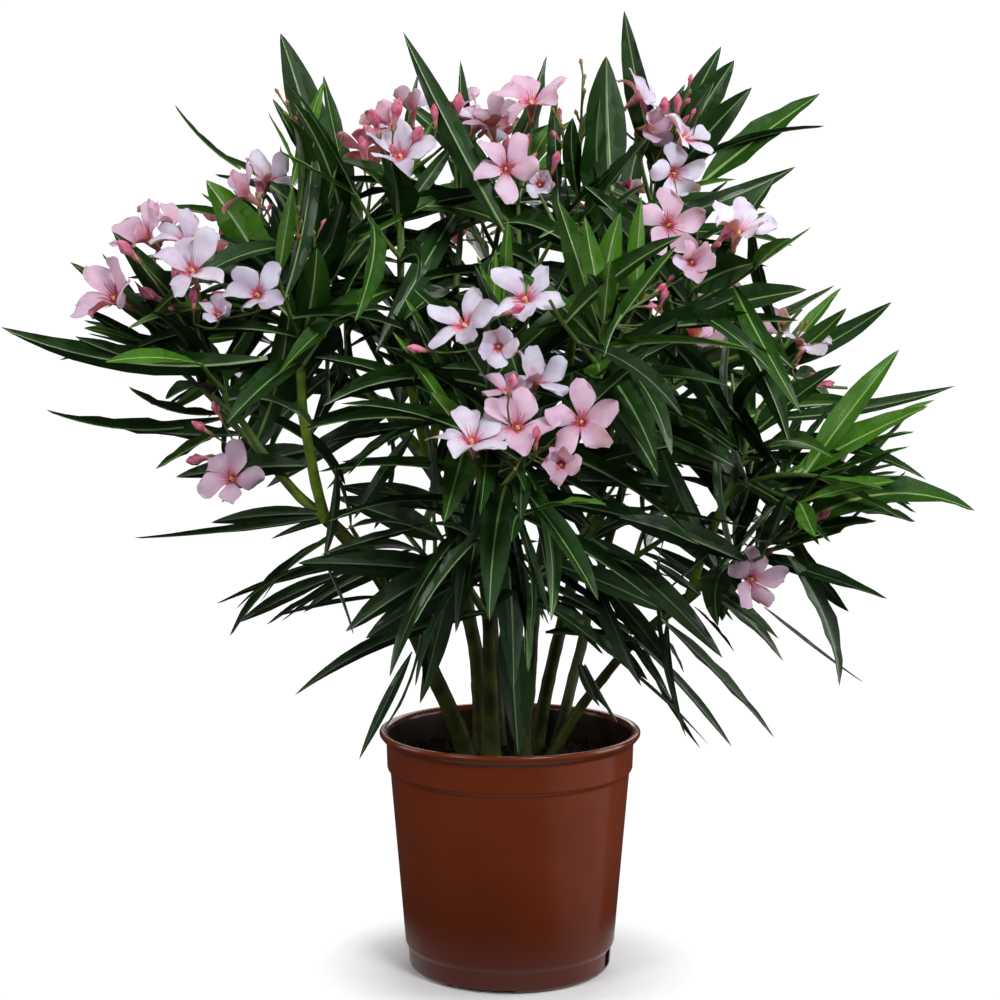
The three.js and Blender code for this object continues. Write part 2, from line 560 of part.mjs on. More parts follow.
// ---------------------------------------------------------------- room for each mass
// Each shoot owns the room nearest to its own line. A leaf keeps to that room, and clear of every other piece.
// Seen from the front, the long leaves' tips draw the crown's outline round its heart.
const HEART = new THREE.Vector3(-8, 0, 410);
const DEPTH = 250; // how far the crown reaches to the front and to the back
const bearing = (p) => Math.atan2(p.z - HEART.z, p.x - HEART.x) / (2 * Math.PI) + 0.5;
const reachOf = (p) => Math.hypot(p.z - HEART.z, p.x - HEART.x);
const OUTLINE_STEPS = 28;
const outline = new Array(OUTLINE_STEPS).fill(170);
for (const { plan } of shoots) {
  for (const [x, y, z] of plan.leads) {
    const tip = new THREE.Vector3(x, y, z);
    const step = Math.floor(bearing(tip) * OUTLINE_STEPS) % OUTLINE_STEPS;
    outline[step] = Math.max(outline[step], reachOf(tip));
  }
}

// Over 1 outside the crown, under 1 inside it.
function outness(p) {
  const at = bearing(p) * OUTLINE_STEPS - 0.5 + OUTLINE_STEPS;
  const low = Math.floor(at);
  const edge = mix(outline[low % OUTLINE_STEPS], outline[(low + 1) % OUTLINE_STEPS], at - low);
  return Math.hypot(reachOf(p) / edge, (p.y / DEPTH) * 0.9);
}

const roomLines = shoots.map(({ curve }) => {
  const foot = curve.getPoint(0.2);
  return new THREE.Line3(foot, curve.getPoint(1).lerp(foot, -0.6));
});

function inOwnRoom(index, point) {
  const near = new THREE.Vector3();
  const away = (line) => line.closestPointToPoint(point, true, near).distanceTo(point);
  const own = away(roomLines[index]);
  return roomLines.every((line, i) => i === index || own < away(line) + SHARED_ROOM);
}

const placed = []; // every piece so far, as {owner, solid, box}

function note(owner, solid, leaf = false) {
  placed.push({ owner, solid, leaf, box: solid.boundingBox() });
}

const apart = (a, b) => [0, 1, 2].some((k) => a.min[k] > b.max[k] || b.min[k] > a.max[k]);

// A piece is blocked where it touches another shoot or limb, or where it runs deep into its own shoot's leaves.
function blocked(owner, solid) {
  const box = solid.boundingBox();
  return placed.some((other) => {
    if (apart(box, other.box)) return false;
    const shared = solid.intersect(other.solid);
    return other.owner === owner ? other.leaf && shared.volume() > CROSSING : !shared.isEmpty();
  });
}

// A leaf that would reach out of the crown is shorter; one that would have to be very short isn't there.
function fitted(leaf) {
  for (const share of [1, 0.9, 0.8, 0.7]) {
    const shorter = { ...leaf, length: leaf.length * share };
    if (outness(leafStations(shorter)[2]) < 1) return shorter;
  }
  return null;
}

function leafStations(leaf) {
  const bend = Math.abs(leaf.bend) < 1e-3 ? 1e-3 : leaf.bend;
  return [0.35, 0.7, 1].map((v) => {
    const p = leaf.root.clone().addScaledVector(leaf.lead, (Math.sin(bend * v) * leaf.length) / bend);
    return p.addScaledVector(leaf.toward, ((1 - Math.cos(bend * v)) * leaf.length) / bend);
  });
}

// ---------------------------------------------------------------- pot and soil
function potSolid() {
  const { height, rim, lip, collar, collarDrop, shoulder, heel, heelHeight, foot, footChamfer, wall, floor } = POT;
  const outer = [
    [0, 0],
    [foot - footChamfer, 0],
    [foot, footChamfer * 0.8],
    [foot + 1, heelHeight - 3],
    [heel, heelHeight],
    [shoulder, height - collarDrop - 3],
    [collar - 0.6, height - collarDrop],
    [collar, height - lip],
    [rim - 1, height - lip + 1.5],
    [rim, height - lip / 2],
    [rim - 1.8, height - 1],
    [rim - 4, height],
    [collar - wall + 1, height - 2.5],
    [collar - wall - 0.4, height - lip],
    [collar - wall - 1, height - collarDrop],
    [shoulder - wall, height - collarDrop - 4],
    [heel - wall, heelHeight],
    [foot - wall, floor + wall],
    [0, floor + wall],
  ];
  const profile = outer.map(([r, z]) => new THREE.Vector2(r, z));
  const lathe = new THREE.LatheGeometry(profile, POT.sides).rotateX(Math.PI / 2);
  let solid = toSolid(lathe);
  // The underside is flat, with a ring-shaped groove that drains through notches in the edge and slots over them.
  const groove = [
    new THREE.Vector2(DRAIN.pad, -1),
    new THREE.Vector2(foot - 10, -1),
    new THREE.Vector2(foot - 10, DRAIN.rise),
    new THREE.Vector2(DRAIN.pad, DRAIN.rise),
    new THREE.Vector2(DRAIN.pad, -1),
  ];
  solid = solid.subtract(toSolid(new THREE.LatheGeometry(groove, POT.sides).rotateX(Math.PI / 2)));
  for (let k = 0; k < DRAIN.gaps; k++) {
    const turn = DRAIN.first + (k / DRAIN.gaps) * 2 * Math.PI;
    const gap = new THREE.BoxGeometry(40, DRAIN.width, DRAIN.rise * 2).translate(foot, 0, 0).rotateZ(turn);
    solid = solid.subtract(toSolid(gap));
    if (k % 2 === 0) continue;
    const { slotWidth, slotLow, slotHigh } = DRAIN;
    const slot = new THREE.BoxGeometry(12, slotWidth, slotHigh - slotLow).translate(foot, 0, (slotLow + slotHigh) / 2);
    solid = solid.subtract(toSolid(slot.rotateZ(turn)));
  }
  return solid;
}

function soilSolid() {
  const { foot, heel, heelHeight, shoulder, collar, wall, floor, height, collarDrop } = POT;
  const inset = wall + GAP + 0.5;
  const slope = (SOIL_TOP - heelHeight) / (height - collarDrop - 4 - heelHeight);
  const top = Math.min(mix(heel, shoulder, slope), collar - 1) - inset;
  const profile = [
    [0, floor + wall + GAP],
    [foot - inset - 4, floor + wall + GAP],
    [heel - inset - 1, heelHeight],
    [shoulder - inset - 0.6, height - collarDrop - 5],
    [top, SOIL_TOP],
    [0, SOIL_TOP],
  ];
  const lathe = new THREE.LatheGeometry(profile.map(([r, z]) => new THREE.Vector2(r, z)), POT.sides);
  return toSolid(lathe.rotateX(Math.PI / 2));
}

// ---------------------------------------------------------------- putting it together
const finish = (color, roughness) => new THREE.MeshStandardMaterial({ color, roughness, metalness: 0 });
const MATERIALS = {
  pot: finish(0x7a3a2a, 0.35),
  soil: finish(0x1e1610, 0.95),
  bark: finish(0x4a5a2c, 0.7),
  foliage: finish(0x1f4a24, 0.45),
};

const oleander = new THREE.Group();

// The largest closed body of a solid goes in; loose scraps and sealed hollows are left out.
function include(name, solid, material) {
  const whole = toSolid(toGeometry(solid.simplify(0.2))).decompose().filter((piece) => piece.volume() > 0);
  whole.sort((a, b) => b.volume() - a.volume());
  const mesh = new THREE.Mesh(toGeometry(whole[0]), material);
  mesh.name = name;
  oleander.add(mesh);
}

const pot = potSolid();
const soil = soilSolid();
note("pot", pot);
note("soil", soil);
include("pot", pot, MATERIALS.pot);
include("soil", soil, MATERIALS.soil);
for (const limb of Object.values(limbs)) {
  const solid = limbSolid(limb);
  note(limb.name, solid);
  include(limb.name, solid, MATERIALS.bark);
}

// Twigs and flowers first, then the long leaves, then whorl after whorl from the tips down.
for (const shoot of shoots) shoot.twigs = sideTwigs(shoot);
const masses = shoots.map((shoot) => {
  const radiusAt = radiusOf(shoot);
  const from = shoot.taken + GAP / shoot.curve.getLength();
  const segments = Math.max(2, Math.round(shoot.curve.getLength() / 40));
  const body = stretch(shoot.curve, from, 1);
  let solid = rod(body, (u) => radiusAt(mix(from, 1, u)), TWIG.sides, segments);
  for (const twig of shoot.twigs) {
    const part = rod(twig.curve, (u) => mix(TWIG.tip * 1.3, TWIG.tip * 0.8, u), TWIG.sides, 1);
    if (blocked(shoot.name, part)) twig.dropped = true;
    else solid = solid.add(part);
  }
  note(shoot.name, solid);
  if (!shoot.plan.blooms) return solid;
  const head = headOf(shoot);
  const stem = shoot.curve.getPoint((shoot.plan.cyme ?? 1) - 0.02);
  const stalk = new THREE.LineCurve3(stem, head.clone().lerp(stem, -0.08));
  const flowers = [rod(stalk, () => TWIG.tip * 0.9, TWIG.sides, 1)];
  const { blooms } = shoot.plan;
  blooms.forEach((bloom, i) => flowers.push(bloomSolid(bloom, stalk.getPoint(0.3 + (0.6 * (i + 0.5)) / blooms.length))));
  for (const flower of flowers) {
    if (blocked(shoot.name, flower)) {
      console.log(`${shoot.name} has a flower in another shoot's way`);
      continue;
    }
    note(shoot.name, flower);
    solid = solid.add(flower);
  }
  return solid;
});

let kept = 0;
let outside = 0;
let crowded = 0;
let touching = 0;
function tryLeaf(index, wished) {
  const { name } = shoots[index];
  const leaf = wished.rank === 0 ? wished : fitted(wished);
  if (!leaf) {
    outside++;
    return false;
  }
  const roomy = leaf.rank === 0 || leafStations(leaf).every((point) => inOwnRoom(index, point));
  if (!roomy) {
    crowded++;
    return false;
  }
  if (blocked(name, leafSolid(leaf, MARGIN))) {
    touching++;
    return false;
  }
  const solid = leafSolid(leaf);
  note(name, solid, true);
  masses[index] = masses[index].add(solid);
  kept++;
  return true;
}

// A long leaf that meets something is tried again further to the front and to the back.
shoots.forEach((shoot, index) => {
  const tries = [0, -12, 12, -24, 24, -36, 36, -50, 50].map((nudge) => leadLeaves(shoot, nudge));
  shoot.plan.leads.forEach((lead, i) => {
    if (!tries.some((leaves) => tryLeaf(index, leaves[i]))) console.log(`${shoot.name} lost long leaf ${i}`);
  });
});
const ruled = shoots.map((shoot) => [shoot, ...shoot.twigs.filter((twig) => !twig.dropped)].flatMap(ruledLeaves));
const mostWhorls = Math.max(...ruled.flat().map((leaf) => leaf.rank));
for (let rank = 1; rank <= mostWhorls; rank++) {
  ruled.forEach((leaves, index) => {
    for (const leaf of leaves) if (leaf.rank === rank) tryLeaf(index, leaf);
  });
}
masses.forEach((solid, index) => include(shoots[index].name, solid, MATERIALS.foliage));
console.log(`${kept} leaves kept, ${outside} outside the crown, ${crowded} crowded out, ${touching} in the way`);

export default oleander;
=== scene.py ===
# %% [markdown]
# # A potted oleander
# An oleander is a shrub of many stems. Each stem forks, each fork carries whorls of three long leaves, and
# the ends of the branches carry loose heads of five-petalled flowers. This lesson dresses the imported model
# of such a plant in its nursery pot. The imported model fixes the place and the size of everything. The steps
# are the stage, the plan of the plant, the finishes, the limbs, the leaves, the flowers, the pot and the
# soil.

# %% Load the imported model
import math
import bpy
import numpy as np
from mathutils import Matrix, Vector
from mathutils.kdtree import KDTree


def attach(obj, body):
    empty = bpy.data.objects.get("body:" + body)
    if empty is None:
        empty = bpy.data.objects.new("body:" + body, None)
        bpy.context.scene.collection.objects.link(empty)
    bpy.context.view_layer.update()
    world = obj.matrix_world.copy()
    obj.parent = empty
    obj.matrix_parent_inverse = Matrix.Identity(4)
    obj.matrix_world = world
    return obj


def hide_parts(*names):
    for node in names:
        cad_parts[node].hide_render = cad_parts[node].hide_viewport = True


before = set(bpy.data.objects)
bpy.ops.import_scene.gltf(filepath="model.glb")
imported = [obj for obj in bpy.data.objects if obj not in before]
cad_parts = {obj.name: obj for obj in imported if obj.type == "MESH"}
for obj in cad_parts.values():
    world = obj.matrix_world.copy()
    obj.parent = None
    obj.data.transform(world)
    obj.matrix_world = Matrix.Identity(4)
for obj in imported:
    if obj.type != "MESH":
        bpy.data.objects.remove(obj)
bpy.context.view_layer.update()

MM = 0.001  # sizes below are in millimetres, and Blender works in metres
print("packed nodes:", len(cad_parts))

# %% [markdown]
# ## Stage
# The plant stands on a plain pale floor against white, in soft light. The camera stands a little above the
# middle of the crown and looks slightly down. A white world would light the inside of the crown as much as
# its outside, so the world is white only where the camera sees it, and dim as a lamp and in reflections.
# Area lamps all round do the rest, because their light comes from the sides and leaves the inside of the
# crown in shade.

# %% Camera
def add_object(name, data):
    """A new object in the scene."""
    made = bpy.data.objects.new(name, data)
    bpy.context.collection.objects.link(made)
    return made


CAMERA_PLACE = (-0.0076, -1.7143, 0.5552)
CAMERA_TILT = 0.113  # radians below level
CAMERA_LENS = 82.08  # mm
CAMERA_SENSOR = 36  # mm across

camera = add_object("camera", bpy.data.cameras.new("camera"))
camera.data.lens = CAMERA_LENS
camera.data.sensor_width = CAMERA_SENSOR
camera.location = CAMERA_PLACE
camera.rotation_euler = (math.pi / 2 - CAMERA_TILT, 0, 0)
bpy.context.scene.camera = camera
print("camera at", CAMERA_PLACE)


# %% Helpers for node trees
def add_node(tree, kind, inputs=None, **settings):
    """Puts a node in a tree. Inputs are values or sockets of other nodes."""
    made = tree.nodes.new(kind)
    for key, value in settings.items():
        setattr(made, key, value)
    for key, value in (inputs or {}).items():
        if isinstance(value, bpy.types.NodeSocket):
            tree.links.new(value, made.inputs[key])
        else:
            made.inputs[key].default_value = value
    return made


def math_of(tree, operation, *values):
    """A Math node on numbers or sockets."""
    return add_node(tree, "ShaderNodeMath", dict(enumerate(values)), operation=operation).outputs[0]


def vector_of(tree, operation, first, second):
    """A Vector Math node on vectors. SCALE takes a vector and a number."""
    key = "Scale" if operation == "SCALE" else 1
    made = add_node(tree, "ShaderNodeVectorMath", {0: first, key: second}, operation=operation)
    return made.outputs[0]


def parts_of(tree, vector):
    """The x, y and z of a vector."""
    return add_node(tree, "ShaderNodeSeparateXYZ", {0: vector}).outputs


def range_of(tree, value, given, wanted, **settings):
    """A value stretched from one range, (low, high), to another."""
    return add_node(tree, "ShaderNodeMapRange", {
        "Value": value, "From Min": given[0], "From Max": given[1], "To Min": wanted[0], "To Max": wanted[1]},
        **settings).outputs[0]


print("five node helpers")


# %% World
WORLD_LAMP = 0.10  # how bright the white world is as a lamp
WORLD_MIRRORED = 0.03  # how bright it is in reflections
WORLD_SEEN = 1.05  # how bright it is to the camera
WHITE = (1, 1, 1, 1)

world = bpy.data.worlds.new("studio")
world.use_nodes = True
bpy.context.scene.world = world
world_tree = world.node_tree
world_tree.nodes.clear()
light_path = add_node(world_tree, "ShaderNodeLightPath").outputs
dim, mirrored, seen = [
    add_node(world_tree, "ShaderNodeBackground", {"Color": WHITE, "Strength": strength}).outputs[0]
    for strength in (WORLD_LAMP, WORLD_MIRRORED, WORLD_SEEN)]
lamp_side = add_node(world_tree, "ShaderNodeMixShader", {
    0: light_path["Is Glossy Ray"], 1: dim, 2: mirrored}).outputs[0]
both = add_node(world_tree, "ShaderNodeMixShader", {
    0: light_path["Is Camera Ray"], 1: lamp_side, 2: seen}).outputs[0]
add_node(world_tree, "ShaderNodeOutputWorld", {0: both})
bpy.context.scene.view_settings.view_transform = "Standard"
print("the world as a lamp:", WORLD_LAMP)

# %% Lamps
LAMPS = {  # name: (place, aims at, width and height, watts)
    "key": ((0.8, -1.5, 1.5), (0, 0, 0.6), (0.6, 0.6), 3.9),
    "fill": ((-1.4, -1.4, 1.1), (0, 0, 0.45), (0.6, 0.8), 2.3),
    "top": ((0.1, -0.2, 2.4), (0, 0, 0.4), (0.9, 0.9), 10.5),
    "left": ((-1.5, 0.15, 0.6), (0, 0, 0.3), (0.7, 1.5), 8),
    "right": ((1.5, 0.1, 0.6), (0, 0, 0.3), (0.9, 1.5), 20),
    "card": ((1.35, -0.4, -0.25), (0, 0, 0.15), (2.2, 0.9), 2.0),  # lays a soft pale band on the pot
    "rear": ((0.2, 1.8, 1.1), (0, 0, 0.4), (1.2, 0.8), 9),
}
LAMP_SPREAD = {"key": 56, "fill": 70}  # degrees: these two are kept on the crown
WIDE_SPREAD = 180

for lamp_name, (place, aim, size, watts) in LAMPS.items():
    lamp = bpy.data.lights.new(lamp_name, "AREA")
    lamp.shape = "RECTANGLE"
    lamp.size, lamp.size_y = size
    lamp.energy = watts
    lamp.spread = math.radians(LAMP_SPREAD.get(lamp_name, WIDE_SPREAD))
    lamp_object = add_object(lamp_name, lamp)
    lamp_object.location = place
    lamp_object.rotation_euler = (Vector(aim) - Vector(place)).to_track_quat("-Z", "Y").to_euler()
print("lamps:", ", ".join(LAMPS))

# %% Floor
FLOOR_REACH = 0.6
FLOOR_FADES = (0.07, 0.17)  # the paper fades away between these distances from the pot's axis
FLOOR_PALENESS = (0.86, 0.94)
FLOOR_ROUGHNESS = 0.9

floor_mesh = bpy.data.meshes.new("floor")
floor_corners = [(x * FLOOR_REACH, y * FLOOR_REACH, 0) for x, y in ((-1, -1), (1, -1), (1, 1), (-1, 1))]
floor_mesh.from_pydata(floor_corners, [], [(0, 1, 2, 3)])
floor = add_object("floor", floor_mesh)
paper = bpy.data.materials.new("pale floor")
paper.use_nodes = True
paper_tree = paper.node_tree
paper_surface = paper_tree.nodes["Principled BSDF"]
paper_surface.inputs["Roughness"].default_value = FLOOR_ROUGHNESS
on_paper = add_node(paper_tree, "ShaderNodeTexCoord").outputs["Object"]
fibres = add_node(paper_tree, "ShaderNodeTexNoise", {"Vector": on_paper, "Scale": 250.0, "Detail": 3.0})
paleness = range_of(paper_tree, fibres.outputs[0], (0, 1), FLOOR_PALENESS)
paper_tree.links.new(paleness, paper_surface.inputs["Base Color"])
off_axis = add_node(paper_tree, "ShaderNodeVectorMath", {0: on_paper}, operation="LENGTH").outputs["Value"]
gone = range_of(paper_tree, off_axis, FLOOR_FADES, (0, 1), interpolation_type="SMOOTHSTEP")
clear = add_node(paper_tree, "ShaderNodeBsdfTransparent").outputs[0]
faded = add_node(paper_tree, "ShaderNodeMixShader", {0: gone, 1: paper_surface.outputs[0], 2: clear})
paper_tree.links.new(faded.outputs[0], paper_tree.nodes["Material Output"].inputs["Surface"])
floor_mesh.materials.append(paper)
print("the floor is gone at", FLOOR_FADES[1], "m")

# %% [markdown]
# ## The plan of the plant
# The stems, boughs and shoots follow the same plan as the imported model, so that every twig here grows where
# its solid is. A stem is a curve from its foot to its fork, pulled by a knee. A bough grows on from a
# stem's end, and a shoot is the leafy end of a limb. A shoot's leads are its longest leaves and its blooms
# are its flowers.

# %% Plan of the stems and boughs
SOIL_TOP = 161
STEMS = {  # name: (foot x and y, knee, end, radii at foot and end)
    "stem_west": ((-31, -10), (-74, -16, 292), (-138, -30, 351), (7.2, 5.6)),
    "stem_front": ((-13, -23), (-14, -22, 260), (-20, -44, 332), (6.4, 4.8)),
    "stem_middle": ((-22, 16), (-22, 30, 270), (-60, 25, 385), (6.8, 5)),
    "stem_centre": ((10, -2), (14, 8, 262), (32, 0, 372), (6.8, 5)),
    "stem_east": ((32, 6), (62, 12, 226), (136, -10, 290), (6, 4.8)),
    "stem_right": ((20, 30), (40, 26, 290), (82, 16, 402), (6.6, 4.8)),
    "stem_north": ((-8, 44), (-12, 66, 262), (-24, 108, 368), (6.4, 4.8)),
    "stem_far": ((38, 50), (62, 84, 262), (92, 126, 356), (6.2, 4.8)),
}
BOUGHS = {  # name: (stem it grows on, knee, end, radii at foot and end)
    "bough_west": ("stem_west", (-152, -36, 402), (-154, -40, 462), (4.8, 3.9)),
    "bough_west_out": ("stem_west", (-160, -16, 366), (-184, -14, 396), (4.6, 3.8)),
    "bough_mid_left": ("stem_middle", (-76, 10, 430), (-80, -6, 490), (4.2, 3.6)),
    "bough_mid_high": ("stem_middle", (-56, 36, 440), (-44, 40, 500), (4.2, 3.6)),
    "bough_back_west": ("stem_middle", (-92, 62, 420), (-124, 96, 450), (4.4, 3.8)),
    "bough_centre_top": ("stem_centre", (16, 8, 430), (10, 4, 490), (4.2, 3.6)),
    "bough_centre_right": ("stem_centre", (44, 2, 430), (46, -8, 482), (4, 3.5)),
    "bough_inner": ("stem_centre", (44, -44, 400), (54, -88, 432), (4.2, 3.6)),
    "bough_east": ("stem_east", (146, -24, 330), (160, -36, 366), (4.2, 3.6)),
    "bough_right_top": ("stem_right", (92, 26, 460), (102, 30, 524), (4.4, 3.7)),
    "bough_right_high": ("stem_right", (98, -18, 440), (116, -46, 476), (4.2, 3.6)),
    "bough_right_mid": ("stem_right", (118, 16, 424), (158, 10, 440), (4.2, 3.6)),
    "bough_north": ("stem_north", (-26, 128, 430), (-22, 132, 484), (4.2, 3.6)),
}
print(len(STEMS), "stems and", len(BOUGHS), "boughs")

